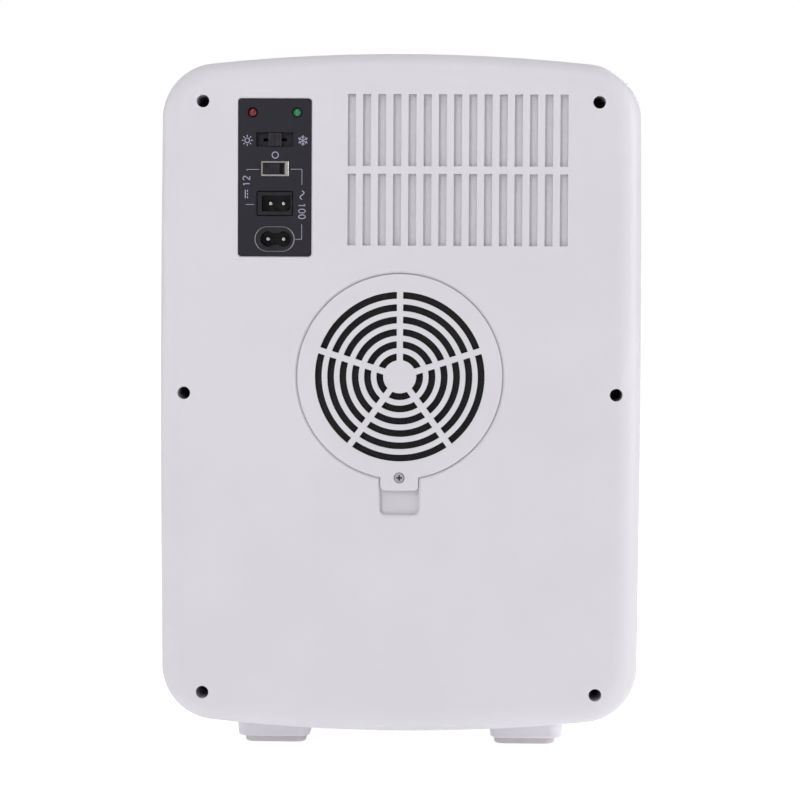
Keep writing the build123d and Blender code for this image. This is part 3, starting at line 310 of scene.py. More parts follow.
def baffle_finish(colours):
    """The same white, painted darker throughout as shade behind the vent's bars, with patches of lint."""
    f = Finish("baffle_white", {"Specular IOR Level": 0.35})
    # Painted shade: the whole baffle is made darker than the casing, for the shade behind the vent's
    # bars.
    base = shade(tuple(colours.shell), 0.94)
    lint = f.noise(3 * MM, 3)
    f.colour(f.mix(lint.step(0.45, 0.75), base, shade(base, 0.96)))
    f.rough(0.5 + 0.1 * lint)
    f.bump(f.noise(0.5 * MM, 2), 0.03 * MM)
    return f.material


def liner_finish(colours):
    """Glossy vacuum-formed polystyrene: orange peel and a faint haze."""
    f = Finish("liner_gloss", {"Coat Weight": 0.25, "Coat Roughness": 0.12})
    base = tuple(colours.liner)
    peel = f.noise(2.4 * MM, 2)
    haze = f.noise(60 * MM, 2)
    f.colour(f.mix(haze.step(0.3, 0.7), base, shade(base, 0.985)))
    f.rough(0.27 + 0.05 * haze)
    f.bump(peel, 0.03 * MM)
    return f.material


def panel_finish(colours):
    """Charcoal plastic with a coarse eroded grain and a few pale rub marks."""
    f = Finish("panel_charcoal", {"Specular IOR Level": 0.22})
    base = tuple(colours.panel)
    grain = f.noise(0.28 * MM, 2, 0.65)
    rub = f.noise(7 * MM, 4, 0.62)
    scuff = f.noise(1.0, 2, 0.5, f.squeezed((1200, 1200, 90)))
    mark = scuff.step(0.62, 0.72) * rub.step(0.55, 0.7)
    tint = f.mix(grain.step(0.3, 0.7), shade(base, 0.86), shade(base, 1.1))
    f.colour(f.mix(mark * 0.25, tint, shade(base, 2.4)))
    f.rough(0.46 + 0.16 * grain - 0.1 * mark)
    f.bump(grain, 0.045 * MM)
    return f.material


def black_finish(colours, name="nylon_black", share=1.0):
    """Black glass-filled nylon: satin, with a faint flow pattern, and a painted highlight, pale grey,
    along the edges that stand proud of the panel, brightest where they face left and right."""
    f = Finish(name, {"Specular IOR Level": 0.3})
    base = shade(tuple(colours.black), share)
    flow = f.noise(4 * MM, 3)
    grain = f.noise(0.2 * MM, 2)
    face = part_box("control_panel")[1].y
    # Painted highlight mask: edges that stand proud of the panel and turn away from it, weighted to faces
    # looking left and right.
    proud = f.along("Y").step(face - 0.15 * MM, face)
    edge = proud * (1 - abs(f.facing("Y")).step(0.7, 0.95))
    plain = f.mix(flow.step(0.3, 0.7), shade(base, 0.75), shade(base, 1.25))
    side = abs(f.facing("X")).step(0.25, 0.7)
    # Painted highlight: those proud edges are mixed towards pale grey.
    f.colour(f.mix(edge * (0.3 + 0.5 * side + 0.2 * flow), plain, tone(186, 184, 188)))
    f.rough(0.3 + 0.14 * flow)
    f.bump(grain, 0.02 * MM)
    return f.material


def fan_finish(colours):
    """Black fan plastic with patches of dust."""
    f = Finish("fan_black")
    base = tuple(colours.black)
    dust = f.noise(6 * MM, 4, 0.65)
    f.colour(f.mix(dust.step(0.5, 0.8) * 0.5, base, tone(92, 90, 90)))
    f.rough(0.4 + 0.25 * dust)
    f.bump(f.noise(0.4 * MM, 2), 0.02 * MM)
    return f.material


def ink_finish(colours):
    """Pad-printed ink: slightly broken where it is thin."""
    f = Finish("panel_ink")
    base = tuple(colours.ink)
    thin = f.noise(0.35 * MM, 2)
    f.colour(f.mix(thin.step(0.35, 0.6), shade(base, 0.72), base))
    f.rough(0.45 + 0.2 * thin)
    f.bump(thin, 0.008 * MM)
    return f.material


def lamp_finish(name, base, node):
    """Tinted epoxy lens with painted light: its middle is painted paler and its rim darker, as light off
    the reflector cup, and its legs are tinned.
    """
    f = Finish(name, {"Coat Weight": 0.4, "Coat Roughness": 0.12, "Specular IOR Level": 0.35})
    low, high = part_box(node)
    centre = (low + high) / 2
    across = abs(f.along("X") - centre.x)
    up = abs(f.along("Z") - centre.z)
    radius = (across * across + up * up).root()
    # Painted highlight: paler in the middle, as light off the reflector cup, darker towards the rim.
    painted_cup_glow = 1 - radius.step(0.3 * MM, 2.0 * MM)
    streak = f.noise(3 * MM, 1)
    leg_end = low.y + 10.4 * MM
    leg = 1 - f.along("Y").step(leg_end - 0.1 * MM, leg_end + 0.1 * MM)
    lens = f.mix(painted_cup_glow * (0.4 + 0.2 * streak), shade(base, 0.6), shade(base, 1.5))
    f.colour(f.mix(leg, lens, tone(200, 198, 190)))
    f.metal(leg)
    f.rough(0.24 + 0.05 * streak)
    f.bump(streak, 0.002 * MM)
    return f.material


def nickel_finish(colours):
    """Bright nickel plate with fine draw lines along the depth."""
    f = Finish("nickel_plate", {"Metallic": 1.0})
    base = tuple(colours.nickel)
    draw = f.noise(1.0, 2, 0.5, f.squeezed((9000, 500, 9000)))
    f.colour(f.mix(draw, shade(base, 0.86), base))
    f.rough(0.2 + 0.14 * draw)
    f.bump(draw, 0.006 * MM)
    return f.material


def zinc_finish(name, base):
    """Zinc plate: small grey spangle, dull patches and a fine grain."""
    f = Finish(name, {"Metallic": 1.0})
    spangle = f.cells(1.6 * MM)
    patch = f.noise(5 * MM, 3)
    f.colour(f.mix(spangle.step(0.2, 0.8), shade(base, 0.84), base))
    f.rough(0.28 + 0.16 * patch + 0.05 * spangle)
    f.bump(f.noise(0.3 * MM, 2), 0.01 * MM)
    return f.material


def tab_screw_finish(colours):
    """Bright zinc on the head, with grime in the cross recess."""
    f = Finish("zinc_cross_head")
    base = tuple(colours.steel)
    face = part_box("fan_cover_screw")[1].y
    pit = 1 - f.along("Y").step(face - 0.75 * MM, face - 0.3 * MM)
    patch = f.noise(1.2 * MM, 3)
    f.colour(f.mix(pit, f.mix(patch, shade(base, 0.8), base), tone(62, 56, 56)))
    f.metal(1 - pit)
    f.rough(0.26 + 0.2 * patch + 0.3 * pit)
    f.bump(f.noise(0.3 * MM, 2), 0.01 * MM)
    return f.material


def dark_screw_finish():
    """Black-oxide screws, brown where the oxide is thin."""
    f = Finish("oxide_black", {"Metallic": 0.6})
    patch = f.noise(1.5 * MM, 3)
    f.colour(f.mix(patch.step(0.4, 0.7), tone(30, 29, 31), tone(58, 50, 48)))
    f.rough(0.38 + 0.2 * patch)
    f.bump(f.noise(0.25 * MM, 2), 0.015 * MM)
    return f.material


def aluminium_finish():
    """Extruded aluminium: die lines run along the fins, and the saw cut leaves cross lines."""
    f = Finish("extruded_aluminium", {"Metallic": 1.0})
    die = f.noise(1.0, 3, 0.6, f.squeezed((5000, 5000, 30)))
    cut = f.noise(1.0, 2, 0.5, f.squeezed((120, 4000, 4000)))
    end = abs(f.facing("Z")).step(0.8, 0.95)
    lines = die * (1 - end) + cut * end
    f.colour(f.mix(lines, tone(182, 183, 186), tone(216, 217, 219)))
    f.rough(0.3 + 0.2 * lines)
    f.bump(lines, 0.012 * MM)
    return f.material


def ceramic_finish():
    """Alumina: matt white with a faint speckle."""
    f = Finish("alumina_white")
    speck = f.cells(0.6 * MM)
    f.colour(f.mix(speck.step(0.1, 0.5), tone(206, 205, 200), tone(232, 231, 227)))
    f.rough(0.55 + 0.15 * speck)
    f.bump(speck, 0.01 * MM)
    return f.material


def board_finish():
    """Green solder mask over copper tracks, with tinned pads on a 2.54 mm grid."""
    f = Finish("circuit_board", {"Coat Weight": 0.3, "Coat Roughness": 0.2})
    pitch = 2.54 * MM
    x, z = f.along("X"), f.along("Z")
    wander = f.noise(14 * MM, 1)
    track = ((z / pitch + 3 * wander) * TURN).sine().step(0.35, 0.5)
    across = (x * TURN / pitch).sine() * (z * TURN / pitch).sine()
    pad = across.step(0.86, 0.93) * f.noise(11 * MM, 1).step(0.5, 0.55)
    mask = f.mix(track, tone(14, 62, 36), tone(30, 98, 56))
    f.colour(f.mix(pad, mask, tone(206, 204, 198)))
    f.metal(pad)
    f.rough(0.28 + 0.2 * f.noise(3 * MM))
    f.bump(track + pad, 0.03 * MM)
    return f.material


def poured_foam_finish(name, base):
    """Cut polyurethane foam: small closed cells in two sizes, their hollows painted darker as shade."""
    f = Finish(name)
    small = f.cells(0.9 * MM)
    large = f.cells(3.2 * MM)
    cell = small.least(large)
    age = f.noise(30 * MM, 3)
    # Painted shade: the middles of the cut cells are darker.
    f.colour(f.mix(cell.step(0.1, 0.6), shade(base, 0.72), f.mix(age, base, shade(base, 0.9))))
    f.rough(0.85 + 0.1 * small)
    f.bump(cell, 0.3 * MM)
    return f.material


def filter_finish(colours):
    """Open-cell filter foam: dark struts round pores painted darker as shade, with caught lint."""
    f = Finish("filter_foam", {"Sheen Weight": 0.15})
    base = tuple(colours.filter)
    pore = f.cells(0.75 * MM)
    lint = f.noise(2.2 * MM, 4, 0.7)
    # Painted shade: the pores between the struts are painted darker.
    struts_with_painted_pore_shade = f.mix(pore.step(0.15, 0.6), shade(base, 0.35), shade(base, 1.15))
    f.colour(f.mix(lint.step(0.62, 0.8) * 0.35, struts_with_painted_pore_shade, tone(96, 92, 90)))
    f.rough(0.8 + 0.15 * pore)
    f.bump(pore, 0.25 * MM)
    return f.material


def soft_finish(name, base, gloss=0.5):
    """Soft rubber or silicone with a waxy bloom."""
    f = Finish(name, {"Subsurface Weight": 0.08, "Subsurface Scale": 0.002})
    bloom = f.noise(12 * MM, 3)
    grain = f.noise(0.5 * MM, 2)
    f.colour(f.mix(bloom.step(0.35, 0.7), shade(base, 0.95), base))
    f.rough(gloss + 0.15 * bloom)
    f.bump(grain, 0.02 * MM)
    return f.material


def coated_wire_finish():
    """White powder coat over wire, slightly lumpy."""
    f = Finish("powder_coat_white", {"Coat Weight": 0.2, "Coat Roughness": 0.3})
    lump = f.noise(3 * MM, 3)
    f.colour(f.mix(lump.step(0.4, 0.7), tone(222, 223, 222), tone(236, 236, 234)))
    f.rough(0.3 + 0.15 * lump)
    f.bump(lump + 0.4 * f.noise(0.6 * MM), 0.08 * MM)
    return f.material


def tray_finish():
    """Frosted clear polystyrene with fine scratches."""
    f = Finish("frosted_clear", {"Transmission Weight": 0.9, "IOR": 1.45})
    frost = f.noise(0.5 * MM, 2)
    scratch = f.noise(1.0, 3, 0.6, f.squeezed((60, 2500, 2500)))
    f.colour(f.mix(scratch.step(0.5, 0.8), tone(246, 249, 250), tone(228, 234, 238)))
    f.rough(0.24 + 0.12 * frost + 0.1 * scratch)
    f.bump(frost, 0.01 * MM)
    return f.material


def wound_finish():
    """Transformer: grey ferrite outside, yellow tape over the winding inside."""
    f = Finish("wound_core")
    low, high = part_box("power_transformer")
    centre = (low + high) / 2
    half_w, half_h, blend = 9.9 * MM, 8.9 * MM, 0.05 * MM
    near_x = 1 - abs(f.along("X") - centre.x).step(half_w - blend, half_w + blend)
    near_z = 1 - abs(f.along("Z") - centre.z).step(half_h - blend, half_h + blend)
    inside = near_x * near_z
    lap = (f.along("Z") * (TURN / (2.2 * MM))).sine()
    tape = f.mix(lap.step(-0.95, -0.7), tone(150, 112, 20), tone(226, 184, 48))
    ferrite = f.mix(f.noise(0.6 * MM), tone(44, 44, 47), tone(66, 66, 70))
    f.colour(f.mix(inside, ferrite, tape))
    f.rough(0.55 - 0.2 * inside)
    f.bump(lap * inside + f.noise(0.4 * MM), 0.03 * MM)
    return f.material


def can_finish():
    """Capacitors: dark sleeve, bare aluminium top."""
    f = Finish("capacitor_can")
    top = f.facing("Y").step(0.9, 0.97)
    rub = f.noise(2 * MM, 3)
    f.colour(f.mix(top, f.mix(rub, tone(20, 24, 38), tone(34, 38, 54)), tone(198, 199, 202)))
    f.metal(top)
    f.rough(0.3 + 0.15 * rub)
    f.bump(rub, 0.01 * MM)
    return f.material


def connector_finish():
    """Natural nylon headers, and the choke: copper turns on a green ring."""
    f = Finish("nylon_natural")
    choke_edge, wire_pitch = -20 * MM, 1.6 * MM
    ring = 1 - f.along("X").step(choke_edge, choke_edge + MM)
    turns = (f.along("X") * (TURN / wire_pitch)).sine() * (f.along("Z") * (TURN / wire_pitch)).sine()
    core = f.mix(turns.step(-0.2, 0.3), tone(30, 84, 58), tone(168, 92, 44))
    nylon = f.mix(f.noise(5 * MM), tone(222, 218, 206), tone(234, 231, 221))
    f.colour(f.mix(ring, nylon, core))
    f.rough(0.42 + 0.1 * f.noise(2 * MM))
    f.bump(f.noise(0.6 * MM), 0.015 * MM)
    return f.material


def lead_finish(name, split, first, second):
    """Insulated wire in two colours, one each side of an X place, with faint scuffs."""
    f = Finish(name)
    side = f.along("X").step(split - 0.05 * MM, split + 0.05 * MM)
    scuff = f.noise(4 * MM, 3)
    one, other = (f.mix(scuff, base, shade(base, 0.8)) for base in (first, second))
    f.colour(f.mix(side, one, other))
    f.rough(0.38 + 0.2 * scuff)
    f.bump(f.noise(0.5 * MM), 0.01 * MM)
    return f.material


def floor_finish():
    """Plain pale studio floor with a faint paper tooth. Its glow keeps it white far off, and is weaker
    in the light it throws back on the underside."""
    f = Finish("studio_floor", {"Emission Strength": FLOOR_GLOW})
    seen = f.node("ShaderNodeLightPath", {}, {}, "Is Camera Ray")
    f.feed(f.shader.inputs["Emission Color"], 0.55 + 0.45 * seen)
    tooth = f.noise(4 * MM, 3)
    f.colour(f.mix(tooth, tone(246, 246, 247), tone(250, 250, 251)))
    f.rough(0.7 + 0.1 * tooth)
    return f.material


def dress(material, *names):
    """Gives CAD nodes a finish."""
    for name in names:
        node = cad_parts[name]
        if not node.material_slots:
            node.data.materials.append(material)
        for slot in node.material_slots:
            slot.material = material


# ---------------------------------------------------------------- surfaces


def skin(points, along=False):
    """Faces over a grid of points, rows by columns, whose last column joins the first. along joins
    the last row to the first too. Otherwise a fan about its middle closes each end row."""
    rows, cols = points.shape[:2]
    verts = points.reshape(-1, 3)
    index = np.arange(rows * cols).reshape(rows, cols)
    right = np.roll(index, -1, 1)
    if along:
        quads = np.stack([index, right, np.roll(right, -1, 0), np.roll(index, -1, 0)], -1)
    else:
        quads = np.stack([index[:-1], right[:-1], right[1:], index[1:]], -1)
    faces = quads.reshape(-1, 4).tolist()
    if not along:
        for row, ring in ((0, index[0][::-1]), (rows - 1, index[-1])):
            middle = len(verts)
            verts = np.vstack([verts, points[row].mean(0)])
            faces += [[int(a), int(b), middle] for a, b in zip(ring, np.roll(ring, -1))]
    return verts, faces


def joined(parts):
    """Several skins as one."""
    verts, faces, start = [], [], 0
    for part_verts, part_faces in parts:
        verts.append(part_verts)
        faces += [[i + start for i in face] for face in part_faces]
        start += len(part_verts)
    return np.vstack(verts), faces


def piece(name, skin_data, material, body, replaced=(), sharp=35):
    """A finished object: doubles merged, faces outward, riding on its body."""
    verts, faces = skin_data
    mesh = bpy.data.meshes.new(name)
    mesh.from_pydata(verts.tolist(), [], faces)
    work = bmesh.new()
    work.from_mesh(mesh)
    bmesh.ops.remove_doubles(work, verts=work.verts, dist=1e-7)
    bmesh.ops.recalc_face_normals(work, faces=work.faces)
    work.to_mesh(mesh)
    work.free()
    mesh.shade_smooth()
    mesh.set_sharp_from_angle(angle=math.radians(sharp))
    mesh.materials.append(material)
    thing = bpy.data.objects.new(name, mesh)
    bpy.context.scene.collection.objects.link(thing)
    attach(thing, body)
    if replaced:
        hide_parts(*replaced)
    return thing


def turned(radii, depths, centre, steps=96):
    """A profile of (radius, depth along Y) turned about the fan's axis."""
    angle = np.linspace(0, TURN, steps, endpoint=False)
    r, y = np.array(radii)[:, None], np.array(depths)[:, None]
    x = centre.x + r * np.cos(angle)
    z = centre.z + r * np.sin(angle)
    return np.stack([x, np.broadcast_to(y, x.shape), z], -1)


def fan_blade(centre, root, tip, middle, chord, pitch, thick, start):
    """One blade. Along the span u the radius runs from root to tip, the chord narrows at the root and
    the pitch eases off. Round the section v the outline is an aerofoil: half thickness goes as
    sin(v), camber as a parabola. The section is wrapped round the axis, so it follows its circle."""
    u = np.linspace(0, 1, 15)[:, None]
    v = np.linspace(0, TURN, 28, endpoint=False)[None, :]
    radius = root + (tip - root) * u
    length = chord * (0.82 + 0.36 * u - 0.18 * u**3)
    slope = pitch[0] + (pitch[1] - pitch[0]) * u
    run = -0.5 * np.cos(v) * length
    camber = 0.09 * length * np.sin(v) ** 2
    rise = 0.5 * thick * (1.15 - 0.5 * u) * np.sin(v) * (0.75 - 0.25 * np.cos(v)) + camber
    sweep = 0.10 * u**2
    around = run * np.cos(slope) - rise * np.sin(slope)
    depth = run * np.sin(slope) + rise * np.cos(slope)
    angle = start + sweep + around / radius
    x = centre.x + radius * np.cos(angle)
    z = centre.z + radius * np.sin(angle)
    return skin(np.stack([x, middle + depth, z], -1))


def rotor(name, node, blades, hub_share, body, finish):
    """Hub and blades inside the CAD rotor's box. The hub is a turned profile with rounded edges and a
    shallow dish in its rear face. The blades start inside the hub, and the box trims their depth."""
    low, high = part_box(node)
    centre = (low + high) / 2
    front, back = low.y, high.y
    tip = (high.x - low.x) / 2
    hub = tip * hub_share
    edge, dish, pole = 0.9 * MM, 0.5 * MM, 0.001 * MM
    dish_edge = hub * 0.62, hub * 0.58
    bevel = back - edge, back - edge * 0.3
    depths = [front, front, front + edge, *bevel, back, back, back - dish, back - dish]
    radii = [pole, hub - edge, hub, hub, hub - edge * 0.3, hub - edge, *dish_edge, pole]
    parts = [skin(turned(radii, depths, centre))]
    root, middle = hub - 0.6 * MM, (front + back) / 2
    chord, thick = (back - front) * 1.12, 1.3 * MM
    pitch = math.radians(48), math.radians(27)
    for i in range(blades):
        start = i * TURN / blades
        parts.append(fan_blade(centre, root, tip, middle, chord, pitch, thick, start))
    verts, faces = joined(parts)
    verts[:, 1] = np.clip(verts[:, 1], front, back)
    return piece(name, (verts, faces), finish, body, (node,))


def rounded_path(half_w, half_h, radius, centre_z, steps=14):
    """Points and outward directions round a rounded rectangle: four quarter circles, whose ends the
    straight sides join."""
    quarter = np.linspace(0, math.pi / 2, steps)
    points, normals = [], []
    for k, (sx, sz) in enumerate(((1, 1), (-1, 1), (-1, -1), (1, -1))):
        angle = quarter + k * math.pi / 2
        normal = np.stack([np.cos(angle), np.sin(angle)], -1)
        corner = np.array([sx * (half_w - radius), centre_z + sz * (half_h - radius)])
        points.append(corner + radius * normal)
        normals.append(normal)
    return np.vstack(points), np.vstack(normals)


def carried(path, normals, profile):
    """A closed profile of (outward, depth) pairs carried round a closed path."""
    out, depth = profile[:, 0], profile[:, 1]
    x = path[:, 0, None] + normals[:, 0, None] * out
    z = path[:, 1, None] + normals[:, 1, None] * out
    y = np.broadcast_to(depth, x.shape)
    return skin(np.stack([x, y, z], -1), along=True)


def seal_profile(band, low, high):
    """Section of the door seal: a crowned face with two grooves, a fold under each edge, and a
    narrower foot on the door's side. The crown drops with the square of the distance from the
    middle, each groove is a bell-shaped dip, and the folds are points in shares of the half width
    and of the thickness."""
    half = band / 2
    thick = high - low
    across = np.linspace(-1, 1, 41)
    face = high - thick * (0.10 * across**2)
    for groove in (-0.5, 0.5):
        face -= thick * 0.16 * np.exp(-(((across - groove) / 0.09) ** 2))
    top = np.stack([across * half * 0.96, face], -1)
    fold = [(1.0, 0.74), (0.985, 0.62), (0.86, 0.52), (0.80, 0.45)]
    foot = [(0.86, 0.38), (0.9, 0.26), (0.86, 0.12), (0.72, 0.0)]
    right = np.array(fold + foot) * (half, thick) + (0, low)
    left = right[::-1] * (-1, 1)
    return np.vstack([top, right, left])


# ---------------------------------------------------------------- printed marks


def stroke(points, width, closed=False, lift=0.0):
    """A printed line: a flat strip of that width along points on the panel, given as (left-right,
    up-down) from the panel's middle as seen from behind. The strip's edges are square to the line."""
    line = np.array(points, float)
    if closed:
        ahead, behind = np.roll(line, -1, 0), np.roll(line, 1, 0)
        run = ahead - behind
    else:
        run = np.gradient(line, axis=0)
    run /= np.linalg.norm(run, axis=1, keepdims=True)
    side = np.stack([-run[:, 1], run[:, 0]], -1) * width / 2
    low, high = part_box("control_panel")
    middle = (low + high) / 2
    face = high.y
    top, bottom = face + 0.035 * MM + lift, face - 0.02 * MM
    corners = [(line + side, bottom), (line + side, top), (line - side, top), (line - side, bottom)]
    grid = [
        np.stack([middle.x - flat[:, 0], np.full(len(line), depth), middle.z + flat[:, 1]], -1)
        for flat, depth in corners
    ]
    return skin(np.stack(grid, 1), along=closed)


def arc(centre, radius, start, end, squash=1.0, steps=24):
    """Points on part of an ellipse, angles in degrees."""
    angle = np.radians(np.linspace(start, end, steps))
    x = centre[0] + radius * np.cos(angle)
    z = centre[1] + radius * squash * np.sin(angle)
    return np.stack([x, z], -1)


def ring(centre, radius, squash=1.0, steps=32):
    """Points on a whole ellipse, the last one a step short of the first."""
    return arc(centre, radius, 0, 360 - 360 / steps, squash, steps)


def sun_mark(centre, size, width):
    """Warm: a ring with eight rays."""
    parts = [stroke(ring(centre, size * 0.42), width, True)]
    for i in range(8):
        way = np.array([math.cos(i * TURN / 8), math.sin(i * TURN / 8)])
        parts.append(stroke([centre + way * size * 0.64, centre + way * size], width))
    return parts


def flake_mark(centre, size, width):
    """Cool: six arms, each with a pair of twigs."""
    parts = []
    for i in range(6):
        turn = math.radians(90 + 60 * i)
        way = np.array([math.cos(turn), math.sin(turn)])
        lift = 0.002 * MM * (i % 3)
        parts.append(stroke([centre + way * width * 0.3, centre + way * size], width, lift=lift))
        for lean in (-0.9, 0.9):
            twig = np.array([math.cos(turn + lean), math.sin(turn + lean)])
            start = centre + way * size * 0.52
            parts.append(stroke([start, start + twig * size * 0.36], width, lift=lift + 0.004 * MM))
    return parts


def digit(glyph, corner, size):
    """Stroke paths of the numerals 0, 1 and 2, size tall, with their lower left at corner."""
    x, z = corner
    wide = size * 0.56
    if glyph == "0":
        return [(ring((x + wide / 2, z + size / 2), wide / 2, size / wide), True)]
    if glyph == "1":
        return [([(x + wide * 0.2, z + size * 0.8), (x + wide * 0.55, z + size)], False),
                ([(x + wide * 0.55, z + size), (x + wide * 0.55, z)], False)]
    bowl = arc((x + wide / 2, z + size * 0.72), wide / 2, 165, -35)
    return [(np.vstack([bowl, [(x, z)]]), False), ([(x, z), (x + wide, z)], False)]


def label(glyphs, centre, size, width, way):
    """A supply symbol and numerals in a row, turned to run up (way 1) or down (way -1) the panel."""
    paths, pen = [], 0.0
    for glyph in glyphs:
        if glyph == "direct":
            paths.append(([(pen, size * 0.66), (pen + size * 1.25, size * 0.66)], False))
            for k in range(3):
                left = pen + size * 0.475 * k
                paths.append(([(left, size * 0.34), (left + size * 0.3, size * 0.34)], False))
            pen += size * 1.85
        elif glyph == "alternating":
            u = np.linspace(0, 1, 28)
            wave = np.stack([pen + size * 1.3 * u, size * (0.5 + 0.3 * np.sin(TURN * u))], -1)
            paths.append((wave, False))
            pen += size * 1.9
        else:
            paths += digit(glyph, (pen, 0.0), size)
            pen += size * 0.84
    length = pen - size * 0.28
    parts = []
    for points, closed in paths:
        flat = np.array(points, float) - (length / 2, size / 2)
        spun = np.stack([-flat[:, 1] * way, flat[:, 0] * way], -1)
        parts.append(stroke(spun + centre, width, closed))
    return parts


def panel_print(sizes):
    """Every mark on the panel. Places are from the panel's middle, in millimetres as seen from behind."""
    width = sizes.print_width
    bold = width * 1.75

    def at(across, up):
        return np.array([across, up]) * MM

    parts = sun_mark(at(-15.2, 20.3), 3.0 * MM, bold)
    parts += flake_mark(at(15.4, 20.3), 2.9 * MM, bold * 0.85)
    parts.append(stroke(ring(at(0.2, 12.3), 1.7 * MM), bold, True))
    left = [at(-8.6, 4.4), at(-15.3, 4.4), at(-15.3, 3.6)]
    lower = [at(-11.3, -14.8), at(-15.9, -14.8)]
    right = [at(8.8, 4.6), at(14.9, 4.6), at(14.9, -4.0)]
    bottom = [at(14.9, -25.6), at(14.9, -33.8), at(11.4, -33.8)]
    for points in (left, lower, right, bottom):
        for first, last in zip(points[:-1], points[1:]):
            parts.append(stroke([first, last], width))
    parts += label(["direct", "1", "2"], at(-15.6, -5.4), 3.7 * MM, bold, 1)
    parts += label(["alternating", "1", "0", "0"], at(15.0, -14.8), 3.7 * MM, bold, -1)
    return joined(parts)


# ---------------------------------------------------------------- filter


def filter_disc(pore):
    """Open-cell foam: a turned disc whose two faces are pitted by seeded noise, a draw for each point,
    and whose rim stays clean."""
    low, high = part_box("filter_pad")
    centre = (low + high) / 2
    edge = (high.x - low.x) / 2
    rings = 78
    reach = np.linspace(0.002, 1, rings)
    roll = np.sin(np.linspace(0, math.pi, 7)[1:-1])
    radii = np.concatenate([reach * edge, edge * (1 + 0.004 * roll), reach[::-1] * edge])
    back = np.full(rings, high.y - pore)
    front = np.full(rings, low.y + pore)
    side = np.linspace(high.y - pore, low.y + pore, len(roll) + 2)[1:-1]
    grid = turned(radii, np.concatenate([back, side, front]), centre, 380)
    draw = np.random.default_rng(11).uniform(-1, 1, grid.shape[:2])
    pitted = np.ones(len(radii))
    pitted[rings - 2 : rings + len(roll) + 2] = 0
    grid[..., 1] += draw * pitted[:, None] * pore * 0.9
    return skin(grid)


# ---------------------------------------------------------------- operators


class FRIDGE_OT_casings(bpy.types.Operator):
    """Finish the casings, the door, the feet and the fan cover"""

    bl_idname = "fridge.casings"
    bl_label = "Casings"
    bl_options = {"REGISTER", "UNDO"}

    def execute(self, context):
        colours = context.scene.fridge_colours
        dress(casing_finish(colours), "cabinet_shell", "rear_cover", "door_outer", "fan_cover")
        # The feet take a lighter copy of the casing white: painted light, standing in for light on the
        # feet near the floor.
        dress(casing_finish(colours, "foot_white_painted_light", 1.22), "feet")
        dress(baffle_finish(colours), "vent_baffle")
        dress(panel_finish(colours), "control_panel", "door_grip")
        dress(soft_finish("foot_silicone", tuple(colours.pad)), "foot_pads")
        dress(dark_screw_finish(), "rear_cover_screws")
        dress(tab_screw_finish(colours), "fan_cover_screw")
        zinc = zinc_finish("zinc_plate", tuple(colours.steel))
        dress(zinc, "foot_screws", "hinge_brackets", "hinge_bracket_screws",
              "hinge_pins", "bulkhead_screws", "clamp_screws", "fan_screws", "keeper_frame")
        return {"FINISHED"}


class FRIDGE_OT_switches(bpy.types.Operator):
    """Finish the lamps, switches and sockets, and print the panel's marks"""

    bl_idname = "fridge.switches"
    bl_label = "Switches and sockets"
    bl_options = {"REGISTER", "UNDO"}

    def execute(self, context):
        sizes = context.scene.fridge_sizes
        colours = context.scene.fridge_colours
        dress(lamp_finish("lens_red", tuple(colours.red), "led_red"), "led_red")
        dress(lamp_finish("lens_green", tuple(colours.green), "led_green"), "led_green")
        dress(black_finish(colours), "switch_bodies", "dc_inlet", "ac_inlet")
        # The knobs take a lighter copy of the black finish: painted light, standing in for the light the
        # raised knobs catch.
        dress(black_finish(colours, "knob_black_painted_light", 1.6), "mode_switch_knob", "voltage_switch_knob")
        dress(nickel_finish(colours), "voltage_switch_frame", "inlet_pins")
        piece("panel_print", panel_print(sizes), ink_finish(colours), "cabinet")
        return {"FINISHED"}


class FRIDGE_OT_filter(bpy.types.Operator):
    """Make the dust filter behind the grille"""

    bl_idname = "fridge.filter"
    bl_label = "Dust filter"
    bl_options = {"REGISTER", "UNDO"}

    def execute(self, context):
        sizes = context.scene.fridge_sizes
        colours = context.scene.fridge_colours
        disc = filter_disc(sizes.pore)
        piece("dust_filter", disc, filter_finish(colours), "cabinet", ("filter_pad",), 80)
        return {"FINISHED"}


class FRIDGE_OT_fans(bpy.types.Operator):
    """Make the two rotors and finish their frames"""

    bl_idname = "fridge.fans"
    bl_label = "Fans"
    bl_options = {"REGISTER", "UNDO"}

    def execute(self, context):
        sizes = context.scene.fridge_sizes
        colours = context.scene.fridge_colours
        finish = fan_finish(colours)
        dress(finish, "fan_frame", "inner_fan_frame")
        rotor("rear_rotor", "fan_rotor", sizes.fan_blades, 0.405, "rear_fan", finish)
        rotor("cold_rotor", "inner_fan_rotor", sizes.cold_fan_blades, 0.44, "cold_fan", finish)
        return {"FINISHED"}


class FRIDGE_OT_compartment(bpy.types.Operator):
    """Finish the cold compartment, the shelf and the inside of the door, and make the seal"""

    bl_idname = "fridge.compartment"
    bl_label = "Compartment and door"
    bl_options = {"REGISTER", "UNDO"}

    def execute(self, context):
        colours = context.scene.fridge_colours
        dress(liner_finish(colours), "inner_liner", "front_frame", "door_inner", "inner_fan_cover",
              "bulkhead")
        dress(coated_wire_finish(), "shelf")
        dress(tray_finish(), "lower_door_rack", "upper_door_rack")
        dress(soft_finish("magnet_strip", tone(48, 46, 45)), "gasket_magnet")
        foam = poured_foam_finish("poured_foam", tone(226, 212, 168))
        dress(foam, "cabinet_foam", "door_foam", "module_seal")
        low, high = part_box("door_gasket")
        band, corner, tongue = 10 * MM, 19 * MM, 1.42 * MM
        half_w = (high.x - low.x) / 2 - band / 2
        half_h = (high.z - low.z) / 2 - band / 2
        path, normals = rounded_path(half_w, half_h, corner, (low.z + high.z) / 2)
        seal = carried(path, normals, seal_profile(band, low.y + tongue, high.y))
        finish = soft_finish("door_seal", tuple(colours.seal), 0.42)
        piece("seal_band", seal, finish, "door", ("door_gasket",), 50)
        return {"FINISHED"}


